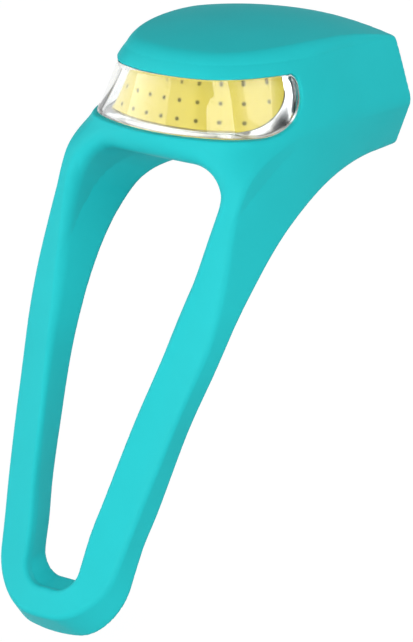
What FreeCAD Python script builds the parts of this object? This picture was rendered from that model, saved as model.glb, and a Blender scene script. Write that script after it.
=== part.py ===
import FreeCAD, Part
import math
import os

import Sketcher
from FreeCAD import Placement, Rotation, Vector

# Bicycle headlight with a silicone body.
# Frame: the light faces -Y, +Z is up, X = 0 is its plane of symmetry. The origin is the centre line
# of the flat underside, where the light sits on the bar. Lengths are in millimetres.
#
# Two coordinates follow the underside: "run" is the arc length along it, from the flat under the
# head, round the bar cradle and down the back of the strap, and "depth" is the distance from it
# into the silicone.

doc = FreeCAD.newDocument("bicycle_headlight")
sheet = doc.addObject("Spreadsheet::Sheet", "sizes")

SIZES = [
    # Head
    ("rear_end", 6.7), ("side_taper", 0.06),
    ("dome_top", 22.2), ("dome_centre", -9.6), ("dome_side_radius", 80.0), ("dome_long_radius", 76.0),
    ("skin_wall", 2.0), ("capsule_gap", 0.15), ("case_wall", 1.4),
    # Cradle and strap
    ("cradle_radius", 40.8), ("cradle_start", -1.5), ("cradle_angle", 68.4),
    ("strap_end_run", 99.1), ("strap_end_radius", 31.8), ("strap_end_draft", 20.5), ("strap_end_corner", 7.0),
    ("strap_end_length", 14.0), ("strap_end_start_half", 14.2), ("strap_end_half", 12.4),
    ("hole_top", 4.0), ("hole_top_front", -38.5), ("hole_top_slope", 0.27),
    ("hole_end_run", 91.3), ("hole_end_corner", 4.2), ("hole_top_corner", 5.0),
    ("bend_upper", 53.0), ("bend_middle", 68.5), ("bend_lower", 84.0), ("bend_reach", 3.5),
    # Front window and light source
    ("window_low", 7.1), ("brow", 2.11), ("window_rear", -18.3),
    ("window_low_corner", 6.4), ("window_high_corner", 1.8),
    ("lens_inset", 0.6), ("lens_wall", 1.2), ("lens_rim", 1.1),
    ("seam_rise", 0.7), ("gasket_height", 0.4), ("gasket_gap", 0.15),
    ("bezel_inset", 3.6), ("bezel_depth", 0.86), ("bezel_rear", -14.6), ("bezel_margin", 0.35),
    ("strip_rise", 0.4), ("strip_width", 8.0), ("strip_inset", 4.5), ("strip_depth", 0.7),
    ("strip_rear", -16.1), ("flex_margin", 0.4),
    ("flex_depth", 0.3), ("carrier_depth", 1.0), ("layer_gap", 0.04), ("pad_thick", 0.75),
    ("die_width", 0.9), ("die_height", 0.5), ("die_depth", 0.3), ("die_row_pitch", 2.9),
    ("die_pitch", 3.5), ("die_side_columns", 5), ("die_seat", 0.02),
    # Battery and board
    ("cell_width", 21.0), ("cell_length", 22.5), ("cell_height", 5.5), ("cell_rear", -0.1), ("cell_low", 4.6),
    ("guard_half", 7.5), ("guard_gap", 0.1), ("guard_thick", 0.9), ("guard_step", 0.9), ("foam_half", 8.5),
    ("board_low", 12.0), ("board_thick", 1.0), ("board_half", 14.2), ("board_nose_half", 9.6),
    ("board_front", -21.5), ("board_shoulder", -14.1), ("board_rear", 2.7),
    ("post_x", 12.4), ("post_front", -12.6), ("post_rear", 0.4), ("post_radius", 1.6),
    ("inductor_x", 8.2), ("inductor_y", -9.0), ("inductor_radius", 2.1), ("inductor_height", 2.2),
    ("lead_half_gap", 2.2), ("lead_radius", 0.4), ("lead_rise", 3.4), ("lead_reach", 1.1),
    ("strip_lead_half_gap", 1.5), ("strip_lead_radius", 0.35), ("strip_lead_rise", 1.4),
    ("screw_radius", 0.8), ("screw_head_radius", 1.4), ("screw_head", 1.0), ("screw_length", 4.0),
    # Switch
    ("button_y", -10.0), ("switch_side", 4.5), ("switch_height", 2.0), ("plunger_radius", 1.0),
    ("plunger_top", 16.0), ("plunger_low", 14.2), ("button_radius", 4.1), ("button_clearance", 0.12),
    ("button_low", 18.0), ("button_top", 19.8), ("stem_radius", 1.5),
    # Charge port and its plug
    ("port_half", 4.47), ("port_height", 3.2), ("port_depth", 7.3), ("port_wall", 0.3),
    ("tongue_half", 3.35), ("tongue_thick", 0.7), ("tongue_depth", 5.6),
    ("plug_half", 6.3), ("plug_low", 11.4), ("plug_high", 17.5), ("plug_thick", 1.5), ("plug_gap", 0.3),
    ("plug_boss_half", 4.8), ("plug_boss_low", 12.9), ("plug_boss_high", 16.2), ("plug_boss_depth", 0.6),
    # Rear hook
    ("hook_half", 4.8), ("hook_low", 3.5), ("hook_arm", 3.0), ("hook_reach", 15.2), ("hook_lip", 2.8),
    ("hook_top", 10.1), ("hook_root_half", 6.0), ("hook_root", 1.6),
    ("hook_chamfer", 0.8), ("hook_tip_chamfer", 0.6), ("hook_screw_x", 3.2), ("hook_bore", 5.0),
]
for row, (alias, value) in enumerate(SIZES, start=1):
    sheet.set("A%d" % row, alias)
    sheet.set("B%d" % row, str(value))
    sheet.setAlias("B%d" % row, alias)
doc.recompute()


class Dim:
    """A length from the sheet: its value now, and the expression that keeps an object bound to it."""

    def __init__(self, value, text):
        self.value = value
        self.text = text

    def __add__(self, other):
        other = as_dim(other)
        return Dim(self.value + other.value, "(%s + %s)" % (self.text, other.text))

    def __sub__(self, other):
        other = as_dim(other)
        return Dim(self.value - other.value, "(%s - %s)" % (self.text, other.text))

    def __mul__(self, number):
        return Dim(self.value * number, "(%s * %s)" % (self.text, number))

    def __neg__(self):
        return self * -1


def as_dim(item):
    return item if isinstance(item, Dim) else Dim(float(item), repr(float(item)))


def cell(alias):
    return Dim(float(sheet.get(alias)), "sizes." + alias)


def size(alias):
    return cell(alias).value


def bind(obj, **sizes):
    for name, dim in sizes.items():
        obj.setExpression(name.replace("__", "."), as_dim(dim).text)


def bind_place(obj, x, y, z):
    bind(obj, Placement__Base__x=x, Placement__Base__y=y, Placement__Base__z=z)


parts = []


def subpart(obj, label):
    obj.Label = label
    parts.append(obj)
    return obj


def from_shape(shape, label):
    """A sub-part whose shape is built by the functions below from the sheet's sizes."""
    feature = doc.addObject("Part::Feature", label + "_form")
    feature.Shape = shape
    feature.Placement = Placement()
    return subpart(feature, label)


def box_between(name, low, high):
    """Block between two corners given as cells or numbers."""
    low = [as_dim(v) for v in low]
    high = [as_dim(v) for v in high]
    box = doc.addObject("Part::Box", name)
    bind(box, Length=high[0] - low[0], Width=high[1] - low[1], Height=high[2] - low[2])
    bind_place(box, *low)
    return box


def upright(name, radius, low, high, x=0.0, y=0.0):
    """Round pin standing upright between two heights."""
    cylinder = doc.addObject("Part::Cylinder", name)
    bind(cylinder, Radius=radius, Height=as_dim(high) - low)
    bind_place(cylinder, x, y, low)
    return cylinder


def fuse_all(name, items):
    obj = doc.addObject("Part::MultiFuse", name)
    obj.Shapes = items
    return obj


def group_of(name, items):
    """Identical or sister solids that share one node, kept as separate solids."""
    obj = doc.addObject("Part::Compound", name)
    obj.Links = items
    return obj


def new_body(name):
    return doc.addObject("PartDesign::Body", name)


def plane_of(body, role):
    return [item for item in body.Origin.OriginFeatures if item.Role == role][0]


def polygon_sketch(body, name, role, offset, points):
    """Closed straight-sided sketch on one of the body's planes, its corners bound to the sheet."""
    sketch = body.newObject("Sketcher::SketchObject", name)
    sketch.AttachmentSupport = [(plane_of(body, role), "")]
    sketch.MapMode = "FlatFace"
    bind(sketch, AttachmentOffset__Base__z=offset)
    points = [(as_dim(u), as_dim(v)) for u, v in points]
    count = len(points)
    for i in range(count):
        (u0, v0), (u1, v1) = points[i], points[(i + 1) % count]
        line = Part.LineSegment(Vector(u0.value, v0.value, 0), Vector(u1.value, v1.value, 0))
        sketch.addGeometry(line, False)
    for i in range(count):
        sketch.addConstraint(Sketcher.Constraint("Coincident", i, 2, (i + 1) % count, 1))
    for i, (u, v) in enumerate(points):
        for kind, dim in (("DistanceX", u), ("DistanceY", v)):
            index = sketch.addConstraint(Sketcher.Constraint(kind, -1, 1, i, 1, dim.value))
            sketch.renameConstraint(index, "%s_%d" % (kind, i))
            sketch.setExpression("Constraints.%s_%d" % (kind, i), dim.text)
    return sketch


def circle_sketch(body, name, role, offset, circles):
    """Sketch of circles, each (u, v, radius), bound to the sheet."""
    sketch = body.newObject("Sketcher::SketchObject", name)
    sketch.AttachmentSupport = [(plane_of(body, role), "")]
    sketch.MapMode = "FlatFace"
    bind(sketch, AttachmentOffset__Base__z=offset)
    for i, (u, v, radius) in enumerate(circles):
        u, v, radius = as_dim(u), as_dim(v), as_dim(radius)
        sketch.addGeometry(Part.Circle(Vector(u.value, v.value, 0), Vector(0, 0, 1), radius.value), False)
        index = sketch.addConstraint(Sketcher.Constraint("Radius", i, radius.value))
        sketch.setExpression("Constraints[%d]" % index, radius.text)
        for kind, dim in (("DistanceX", u), ("DistanceY", v)):
            index = sketch.addConstraint(Sketcher.Constraint(kind, -1, 1, i, 3, dim.value))
            sketch.setExpression("Constraints[%d]" % index, dim.text)
    return sketch


def pad(body, name, sketch, length, both_ways=False, reverse=False):
    feature = body.newObject("PartDesign::Pad", name)
    feature.Profile = sketch
    bind(feature, Length=length)
    feature.Midplane = both_ways
    feature.Reversed = reverse
    sketch.Visibility = False
    return feature


def pocket(body, name, sketch, length, both_ways=False, reverse=False):
    feature = body.newObject("PartDesign::Pocket", name)
    feature.Profile = sketch
    bind(feature, Length=length)
    feature.Midplane = both_ways
    feature.Reversed = reverse
    sketch.Visibility = False
    return feature


# The body's outline
# Each level is (height, half-width at the rear end, front, front radius, corner radius).
LEVELS = [
    (24.0, 16.3, -31.9, 60.0, 14.5),
    (18.4, 17.7, -33.3, 60.0, 15.0),
    (12.6, 19.5, -34.7, 48.0, 15.0),
    (6.8, 21.3, -36.3, 38.0, 13.5),
    (0.0, 25.0, -38.4, 46.0, 10.0),
    (-8.0, 28.0, -40.7, 56.0, 8.5),
    (-24.0, 29.5, -46.3, 56.0, 7.5),
    (-36.0, 30.0, -50.9, 54.0, 7.8),
    (-47.5, 30.5, -55.1, 51.0, 8.0),
    (-60.6, 31.5, -59.6, 51.3, 8.5),
    (-80.0, 33.0, -67.0, 52.0, 9.0),
]
HEAD_LEVELS = [level for level in LEVELS if level[0] > -10.0]


def outline(level, inset=0.0, shift=0.0):
    """Closed plan wire at one level: rear line, two tapering sides, two corner arcs, front arc."""
    height, half, front, radius, corner = level
    rear = size("rear_end") - inset
    taper = math.atan(size("side_taper"))
    half = half - inset / math.cos(taper) - math.tan(taper) * inset
    radius = radius - inset
    corner = max(corner - inset, 0.8)
    centre_y = front + inset + radius
    # The corner's centre lies one corner radius inside the side line, and touches the front arc.
    low, high = front + inset + corner, rear
    for _ in range(60):
        middle = 0.5 * (low + high)
        x = half - math.tan(taper) * (rear - middle) - corner / math.cos(taper)
        if math.hypot(x, middle - centre_y) > radius - corner:
            low = middle
        else:
            high = middle
    corner_y = 0.5 * (low + high)
    corner_x = half - math.tan(taper) * (rear - corner_y) - corner / math.cos(taper)
    turn = math.atan2(corner_x, centre_y - corner_y)
    z = height + shift

    def front_point(angle):
        return Vector(radius * math.sin(angle), centre_y - radius * math.cos(angle), z)

    def corner_point(angle, side):
        x = corner_x + corner * math.sin(angle)
        return Vector(side * x, corner_y - corner * math.cos(angle), z)

    end = math.pi / 2 - taper
    middle = 0.5 * (turn + end)
    rear_right = Vector(half, rear, z)
    rear_left = Vector(-half, rear, z)
    edges = [
        Part.LineSegment(rear_left, rear_right).toShape(),
        Part.LineSegment(rear_right, corner_point(end, 1)).toShape(),
        Part.Arc(corner_point(end, 1), corner_point(middle, 1), corner_point(turn, 1)).toShape(),
        Part.Arc(front_point(turn), front_point(0.0), front_point(-turn)).toShape(),
        Part.Arc(corner_point(turn, -1), corner_point(middle, -1), corner_point(end, -1)).toShape(),
        Part.LineSegment(corner_point(end, -1), rear_left).toShape(),
    ]
    return Part.Wire(edges)


def outline_solid(inset, levels=None):
    """Solid through the plan outlines, inset all round by one wall."""
    wires = [outline(level, inset) for level in (levels or HEAD_LEVELS)]
    return Part.makeLoft(wires, True, False)


def block(x0, x1, y0, y1, z0, z1):
    return Part.makeBox(x1 - x0, y1 - y0, z1 - z0, Vector(x0, y0, z0))


# Reach of the blocks that trim the forms: past the widest, longest and tallest of them, and the run
# past the strap's end.
WIDE, FAR, PAST_STRAP = 45.0, 120.0, 125.0


def between(shape, z0, z1):
    return shape.common(block(-WIDE, WIDE, -FAR, WIDE, z0, z1))


def in_front(shape, y):
    return shape.common(block(-WIDE, WIDE, -FAR, y, -FAR, FAR))


def dome(drop):
    """Everything under the crowned roof, lowered by a wall: an arc across, turned about X."""
    across = size("dome_side_radius") - drop
    along = size("dome_long_radius") - drop
    top = size("dome_top") - drop
    y = size("dome_centre")
    edge = WIDE
    sag = across - math.sqrt(across ** 2 - edge ** 2)
    arc = Part.Arc(Vector(-edge, y, top - sag), Vector(0, y, top), Vector(edge, y, top - sag)).toShape()
    axis_height = top - along
    points = [Vector(edge, y, top - sag), Vector(edge, y, axis_height), Vector(-edge, y, axis_height),
              Vector(-edge, y, top - sag)]
    face = Part.Face(Part.Wire([arc] + Part.makePolygon(points).Edges))
    half_turn = 40.0
    face.rotate(Vector(0, y, axis_height), Vector(1, 0, 0), -half_turn)
    barrel = face.revolve(Vector(0, y, axis_height), Vector(1, 0, 0), 2.0 * half_turn)
    return barrel.fuse(block(-edge, edge, -FAR, edge, -FAR, 0.5 * top))


def roof_height(y):
    """Height of the crowned roof on the middle line."""
    along = size("dome_long_radius")
    return size("dome_top") - along + math.sqrt(along ** 2 - (y - size("dome_centre")) ** 2)


# The underside
CRADLE_CENTRE = (size("cradle_start"), -size("cradle_radius"))
CRADLE_RUN = math.radians(size("cradle_angle")) * size("cradle_radius")


def underside(run, depth=0.0):
    """Point (y, z) at a run along the underside and a depth into the silicone, with the turn there."""
    radius = size("cradle_radius")
    turn = min(max(run, 0.0), CRADLE_RUN) / radius
    y = CRADLE_CENTRE[0] - (radius + depth) * math.sin(turn)
    z = CRADLE_CENTRE[1] + (radius + depth) * math.cos(turn)
    beyond = run - turn * radius
    return y - beyond * math.cos(turn), z - beyond * math.sin(turn), turn


def place(run, depth, x):
    y, z, _ = underside(run, depth)
    return Vector(x, y, z)


# Half-widths of the dark side facet: (run, at the underside, at its outer ridge, depth of the ridge).
FACET = [
    (-12.0, 16.6, 19.9, 6.8),
    (0.0, 18.4, 20.3, 6.8),
    (12.0, 19.9, 20.4, 6.2),
    (25.0, 21.1, 20.3, 6.0),
    (35.0, 21.4, 20.0, 6.2),
    (46.0, 20.5, 19.4, 6.3),
    (63.0, 16.9, 16.9, 5.2),
    (76.0, 15.0, 14.6, 4.5),
    (85.0, 13.7, 13.2, 4.1),
    (99.0, 13.4, 10.8, 3.7),
    (108.0, 13.3, 9.4, 3.5),
]
# Half-width of the strap's hole: (run, half-width).
HOLE = [(16.0, 15.8), (28.0, 15.5), (37.0, 14.7), (46.0, 13.3), (63.0, 10.1), (76.0, 8.1), (97.0, 5.6)]


def facet_cutter(side, inset=0.0):
    """Solid outside the side facet: a ruled sheet drawn beyond both edges, thickened outwards."""
    steepness = math.hypot(1.0, (FACET[0][2] - FACET[0][1]) / FACET[0][3])
    rows = []
    for reach in (-1.6, 3.2):
        points = []
        for run, low, ridge, depth in FACET:
            x = low + (ridge - low) * reach - inset * steepness
            points.append(place(run, depth * reach, side * x))
        curve = Part.BSplineCurve()
        curve.interpolate(points)
        rows.append(curve.toShape())
    sheet_face = Part.makeRuledSurface(rows[0], rows[1])
    return sheet_face.extrude(Vector(side * WIDE, 0, 0))


def above_floor(inset):
    """Space above the capsule's floor, which climbs at the front to clear the ceiling of the hole."""
    slope = size("hole_top_slope")
    low = inset
    bend_y = size("hole_top_front") + (size("hole_top") + size("skin_wall") * 0.8 - size("skin_wall")) / slope
    front_low = low + slope * (bend_y + FAR)
    points = [Vector(-WIDE, WIDE, low), Vector(-WIDE, bend_y, low), Vector(-WIDE, -FAR, front_low),
              Vector(-WIDE, -FAR, FAR), Vector(-WIDE, WIDE, FAR), Vector(-WIDE, WIDE, low)]
    return Part.Face(Part.makePolygon(points)).extrude(Vector(2 * WIDE, 0, 0))


def inner_solid(inset):
    """The head's solid inset all round: between its sides, under its roof and above its floor."""
    solid = outline_solid(inset).common(dome(inset)).common(above_floor(inset))
    for side in (1, -1):
        solid = solid.cut(facet_cutter(side, inset))
    return solid


def underside_region():
    """Everything in front of and above the underside, as a solid across the whole width."""
    start = Vector(-WIDE, WIDE, 0)
    flat_end = place(0.0, 0.0, -WIDE)
    arc_middle = place(0.5 * CRADLE_RUN, 0.0, -WIDE)
    arc_end = place(CRADLE_RUN, 0.0, -WIDE)
    strap_end = place(PAST_STRAP + 10.0, 0.0, -WIDE)
    far = [Vector(-WIDE, -FAR, strap_end.z), Vector(-WIDE, -FAR, FAR), Vector(-WIDE, WIDE, FAR)]
    edges = [
        Part.LineSegment(start, flat_end).toShape(),
        Part.Arc(flat_end, arc_middle, arc_end).toShape(),
        Part.LineSegment(arc_end, strap_end).toShape(),
    ]
    chain = [strap_end] + far + [start]
    for first, second in zip(chain, chain[1:]):
        edges.append(Part.LineSegment(first, second).toShape())
    return Part.Face(Part.Wire(edges)).extrude(Vector(2 * WIDE, 0, 0))


def strap_frame(run):
    """Placement whose local axes are X across, Y into the silicone and Z on down the strap."""
    y, z, turn = underside(run)
    across = Vector(1, 0, 0)
    inward = Vector(0, -math.sin(turn), math.cos(turn))
    onward = across.cross(inward)
    matrix = FreeCAD.Matrix(
        across.x, inward.x, onward.x, 0.0,
        across.y, inward.y, onward.y, y,
        across.z, inward.z, onward.z, z,
        0.0, 0.0, 0.0, 1.0)
    return Placement(matrix)


def strap_slab(run_low, run_high):
    """Slab of space across the strap between two runs, for the straight part of the underside."""
    slab = block(-WIDE, WIDE, -6.0, 16.0, 0.0, run_high - run_low)
    slab.Placement = strap_frame(run_low)
    return slab


def strap_end_cutter():
    """What lies beyond the strap's rounded end, in a prism that leans with the end's draft."""
    end = size("strap_end_run")
    corner = size("strap_end_corner")
    bulge = size("strap_end_radius")
    length = size("strap_end_length")
    half_start, half_end = size("strap_end_start_half"), size("strap_end_half")
    drop = bulge - math.sqrt(bulge ** 2 - half_end ** 2)
    top_left = Vector(-half_start, 0, -length)
    top_right = Vector(half_start, 0, -length)
    side_left = Part.LineSegment(top_left, Vector(-half_end, 0, -drop)).toShape()
    side_right = Part.LineSegment(Vector(half_end, 0, -drop), top_right).toShape()
    bow = Part.Arc(Vector(-half_end, 0, -drop), Vector(0, 0, 0), Vector(half_end, 0, -drop)).toShape()
    top = Part.LineSegment(top_right, top_left).toShape()
    tongue = Part.Face(Part.Wire([side_left, bow, side_right, top]))
    lean = math.tan(math.radians(size("strap_end_draft")))
    depth = 20.0
    tongue.translate(Vector(0, -5.0, 5.0 * lean))
    prism = tongue.extrude(Vector(0, depth, -depth * lean))
    corners = [edge for edge in prism.Edges if abs(abs(edge.CenterOfMass.x) - half_end) < 0.2
               and abs(edge.tangentAt(edge.FirstParameter).y) > 0.5]
    prism = prism.makeFillet(corner, corners)
    around = block(-WIDE, WIDE, -5.0, 15.0, 2.0 - length, 30.0)
    cutter = around.cut(prism)
    cutter.Placement = strap_frame(end)
    return cutter


def strap_hole():
    """The strap's tapering hole, seen along the direction of its sloping ceiling."""
    slope = size("hole_top_slope")
    ceiling = size("hole_top")
    front = size("hole_top_front")
    # The sides are traced on the front face, then swept back parallel to the ceiling.
    side = []
    for run, half in HOLE:
        y, z, _ = underside(run, 5.0)
        side.append((half, z + slope * (y - front)))
    side = [point for point in side if point[1] < ceiling - 3.0]
    end_y, end_z, _ = underside(size("hole_end_run"), 4.5)
    end_height = end_z + slope * (end_y - front)
    right = [Vector(half, 0, height) for half, height in side if height > end_height + 2.0]
    last = side[-1]
    right.append(Vector(last[0] + 0.35, 0, end_height))
    right.insert(0, Vector(side[0][0], 0, ceiling))
    curve = Part.BSplineCurve()
    curve.interpolate(right)
    mirror = [Vector(-p.x, 0, p.z) for p in reversed(right)]
    curve_left = Part.BSplineCurve()
    curve_left.interpolate(mirror)
    edges = [
        curve.toShape(),
        Part.LineSegment(right[-1], mirror[0]).toShape(),
        curve_left.toShape(),
        Part.LineSegment(mirror[-1], right[0]).toShape(),
    ]
    face = Part.Face(Part.Wire(edges))
    face.translate(Vector(0, -FAR, slope * (FAR + front)))
    prism = face.extrude(Vector(0, FAR + WIDE, -slope * (FAR + WIDE)))
    corners_low, corners_high = [], []
    for edge in prism.Edges:
        along = edge.tangentAt(edge.FirstParameter)
        if abs(along.y) < 0.9:
            continue
        height = edge.CenterOfMass.z + slope * (edge.CenterOfMass.y - front)
        (corners_high if height > ceiling - 1.0 else corners_low).append(edge)
    prism = prism.makeFillet(size("hole_top_corner"), corners_high)
    corners_low = [edge for edge in prism.Edges
                   if abs(edge.tangentAt(edge.FirstParameter).y) > 0.9
                   and edge.CenterOfMass.z + slope * (edge.CenterOfMass.y - front) < end_height + 1.0]
    return prism.makeFillet(size("hole_end_corner"), corners_low)


brow_height = roof_height(HEAD_LEVELS[1][2])
window_high = brow_height - size("brow")
seam = window_high + size("seam_rise")
strip_low = size("window_low") + size("strip_rise")
strip_high = strip_low + size("strip_width")


def window_prism(grow=0.0):
    """The front window as a prism along X: round-cornered at its rear end, open to the front."""
    low = size("window_low") - grow
    high = window_high + grow
    rear = size("window_rear") + grow
    prism = block(-WIDE, WIDE, -FAR, rear, low, high)
    low_edge = [e for e in prism.Edges if abs(e.CenterOfMass.y - rear) < 0.01
                and abs(e.CenterOfMass.z - low) < 0.01]
    prism = prism.makeFillet(size("window_low_corner") + grow, low_edge)
    high_edge = [e for e in prism.Edges if abs(e.CenterOfMass.y - rear) < 0.01
                 and abs(e.CenterOfMass.z - high) < 0.01]
    return prism.makeFillet(size("window_high_corner") + grow, high_edge)


def shell_layer(outer, depth):
    """Wall between two insets of the head's outline, no higher than the roof inset as far."""
    return outline_solid(outer).cut(outline_solid(outer + depth)).common(dome(outer))


# Silicone body
def silicone():
    body = outline_solid(0.0, LEVELS).common(dome(0.0)).common(underside_region())
    for side in (1, -1):
        body = body.cut(facet_cutter(side))
    return body.cut(strap_end_cutter()).cut(strap_hole())


body_form = silicone()
cavity = inner_solid(size("skin_wall"))

bends = [size("bend_upper"), size("bend_middle"), size("bend_lower")]
reach = size("bend_reach")
cuts = [run + sign * reach for run in bends for sign in (-1, 1)] + [PAST_STRAP]

head = body_form
for low_run, high_run in zip(cuts, cuts[1:]):
    head = head.cut(strap_slab(low_run, high_run))
head = head.cut(cavity).cut(window_prism())

gap = size("plug_gap")
rear = size("rear_end")
plug_recess = block(-size("plug_half") - gap, size("plug_half") + gap,
                    rear - size("plug_thick") - gap, rear + 1.0,
                    size("plug_low") - gap, size("plug_high") + gap)
port_opening = block(-size("plug_boss_half") - gap, size("plug_boss_half") + gap, 0.0, rear + 1.0,
                     size("plug_boss_low") - 3.0 * gap, size("plug_boss_high") + gap)
hook_opening = block(-size("hook_root_half") - 0.1, size("hook_root_half") + 0.1, 2.1, rear + 1.0,
                     size("hook_low") - 0.1, size("hook_low") + size("hook_arm") + 0.1)
head = head.cut(plug_recess).cut(port_opening).cut(hook_opening)
from_shape(head, "head_skin")

strap_names = ["strap_bend_upper", "strap_upper", "strap_bend_middle", "strap_middle", "strap_bend_lower",
               "strap_end_loop"]
for name, low_run, high_run in zip(strap_names, cuts, cuts[1:]):
    from_shape(body_form.common(strap_slab(low_run, high_run)), name)

# Sealed capsule: base tray, lens and its gasket, and cover
capsule_inset = size("skin_wall") + size("capsule_gap")
wall = size("case_wall")
floor_top = capsule_inset + wall
lens_seat = size("window_low") - size("lens_rim")
window_flange = window_prism(size("lens_rim"))

base = between(inner_solid(capsule_inset), 0.0, seam - 0.02)
base = base.cut(inner_solid(capsule_inset + wall))
base = base.cut(window_prism(size("lens_rim") + size("gasket_height")))
post_low = floor_top - 0.2
pilot_low = size("board_low") - size("screw_length") - 0.6
for x in (-size("post_x"), size("post_x")):
    for y in (size("post_front"), size("post_rear")):
        post = Part.makeCylinder(size("post_radius"), size("board_low") - post_low, Vector(x, y, post_low))
        pilot = Part.makeCylinder(size("screw_radius"), size("screw_length") + 1.0, Vector(x, y, pilot_low))
        base = base.fuse(post).cut(pilot)
port_low = size("board_low") + size("board_thick")
port_notch = block(-size("port_half") - 0.2, size("port_half") + 0.2, 0.0, rear, port_low - 0.05,
                   port_low + size("port_height") + 0.2)
base = base.cut(port_notch)
hook_screw_z = size("hook_low") + 0.5 * size("hook_arm")
for x in (-size("hook_screw_x"), size("hook_screw_x")):
    hole = Part.makeCylinder(size("screw_radius") + 0.1, 6.0, Vector(x, 1.0, hook_screw_z), Vector(0, 1, 0))
    base = base.cut(hole)
from_shape(base.removeSplitter(), "capsule_base")

button_hole = Part.makeCylinder(size("button_radius") + size("button_clearance"), 20.0,
                                Vector(0, size("button_y"), seam - 5.0))
cover = between(inner_solid(capsule_inset), seam, 40.0)
cover = cover.cut(inner_solid(capsule_inset + wall))
from_shape(cover.cut(button_hole), "capsule_cover")

lens_face = shell_layer(size("lens_inset"), capsule_inset - size("lens_inset") + 0.02)
lens_face = lens_face.common(window_prism(-0.12))
lens_rim = shell_layer(capsule_inset, size("lens_wall")).common(window_flange)
lens_rim = between(lens_rim, -1.0, seam - 0.04)
from_shape(lens_face.fuse(lens_rim).removeSplitter(), "lens")

gasket = shell_layer(capsule_inset + size("gasket_gap"), size("lens_wall") - 2.0 * size("gasket_gap"))
gasket = gasket.common(window_prism(size("lens_rim") + size("gasket_height") - 0.03))
gasket = between(gasket, -1.0, seam - 0.1).cut(window_prism(size("lens_rim") + 0.03))
from_shape(gasket, "lens_gasket")

# Light source: chrome bezel, phosphor strip over its dies, flexible board and aluminium carrier
bezel = in_front(shell_layer(size("bezel_inset"), size("bezel_depth")), size("bezel_rear"))
bezel = between(bezel, lens_seat + 0.1, seam - 0.1).common(above_floor(floor_top + 0.2))
from_shape(bezel.cut(window_prism(-size("bezel_margin"))), "reflector_bezel")

strip_back = size("strip_inset") + size("strip_depth")
strip = in_front(shell_layer(size("strip_inset"), size("strip_depth")), size("strip_rear"))
strip = between(strip, strip_low, strip_high)


def strip_line(height):
    """Points at equal steps along the back of the strip at one height, from one end to the other."""
    ring = outline_solid(strip_back).slice(Vector(0, 0, 1), height)[0]
    front = [point for point in ring.discretize(Number=2001) if point.y < size("strip_rear")]
    return sorted(front, key=lambda point: math.atan2(point.x, size("button_y") - point.y))


def die_places():
    """Placement of each die: on the back of the strip, square to it, three rows of equal pitch."""
    middle = 0.5 * (strip_low + strip_high)
    side_columns = int(size("die_side_columns"))
    for row in (-1, 0, 1):
        height = middle + row * size("die_row_pitch")
        below, line, above = (strip_line(height + step) for step in (-0.5, 0.0, 0.5))
        step = (line[1] - line[0]).Length
        centre = min(range(len(line)), key=lambda i: abs(line[i].x))
        for column in range(-side_columns, side_columns + 1):
            i = centre + round(column * size("die_pitch") / step)
            share = i / (len(line) - 1)
            across = (line[i + 2] - line[i - 2]).normalize()
            up = above[round(share * (len(above) - 1))] - below[round(share * (len(below) - 1))]
            inward = up.cross(across).normalize()
            upright_way = across.cross(inward)
            yield Placement(FreeCAD.Matrix(
                across.x, inward.x, upright_way.x, line[i].x,
                across.y, inward.y, upright_way.y, line[i].y,
                across.z, inward.z, upright_way.z, line[i].z,
                0.0, 0.0, 0.0, 1.0))


dies = []
for place_of_die in die_places():
    die = Part.makeBox(size("die_width"), size("die_depth") + size("die_seat"), size("die_height"),
                       Vector(-0.5 * size("die_width"), -size("die_depth"), -0.5 * size("die_height")))
    die.Placement = place_of_die
    dies.append(die)
dies_form = Part.makeCompound(dies)
from_shape(strip.cut(dies_form), "phosphor_strip")
from_shape(dies_form, "led_dies")

flex_inset = strip_back + size("layer_gap")
flex = in_front(shell_layer(flex_inset, size("flex_depth")), size("strip_rear"))
from_shape(between(flex, strip_low - size("flex_margin"), strip_high + size("flex_margin")), "cob_flex_board")

cell_front = size("cell_rear") - size("cell_length")
carrier_inset = flex_inset + size("flex_depth") + size("layer_gap")
foot_low = floor_top + size("pad_thick")
carrier = in_front(shell_layer(carrier_inset, size("carrier_depth")), size("strip_rear"))
carrier = between(carrier, foot_low, strip_high + size("flex_margin")).common(above_floor(foot_low))
foot = between(outline_solid(carrier_inset), foot_low, foot_low + size("carrier_depth"))
foot = in_front(foot, cell_front - 0.6).common(above_floor(foot_low))
from_shape(carrier.fuse(foot).removeSplitter(), "cob_carrier")

pad_low = floor_top + 0.02
pad_block = outline_solid(carrier_inset + 0.4)
pad_block = in_front(between(pad_block, pad_low, foot_low - 0.02), cell_front - 1.0)
pad_block = pad_block.common(above_floor(pad_low))
from_shape(pad_block, "heat_pad")

# Battery pack
cell_top = cell("cell_low") + cell("cell_height")
cell_start = cell("cell_rear") - cell("cell_length")
cell_block = box_between("cell_block", (cell("cell_width") * -0.5, cell_start, cell("cell_low")),
                         (cell("cell_width") * 0.5, cell("cell_rear"), cell_top))
doc.recompute()
cell_round = doc.addObject("Part::Fillet", "cell_round")
cell_round.Base = cell_block
long_edges = [i + 1 for i, edge in enumerate(cell_block.Shape.Edges)
              if abs(edge.tangentAt(edge.FirstParameter).y) > 0.9]
cell_round.Edges = [(i, 1.2, 1.2) for i in long_edges]
subpart(cell_round, "li_po_cell")

foam = box_between("cell_foam_block", (-cell("foam_half"), cell_start + 1.0, floor_top + 0.02),
                   (cell("foam_half"), cell("cell_rear") - 1.0, cell("cell_low") - 0.02))
subpart(foam, "cell_foam")

guard_front = cell("cell_rear") + cell("guard_gap")
guard = box_between("guard_block", (-cell("guard_half"), guard_front, cell("cell_low") + cell("guard_step")),
                    (cell("guard_half"), guard_front + cell("guard_thick"), cell_top - cell("guard_step")))
subpart(guard, "cell_protection_board")


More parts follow.
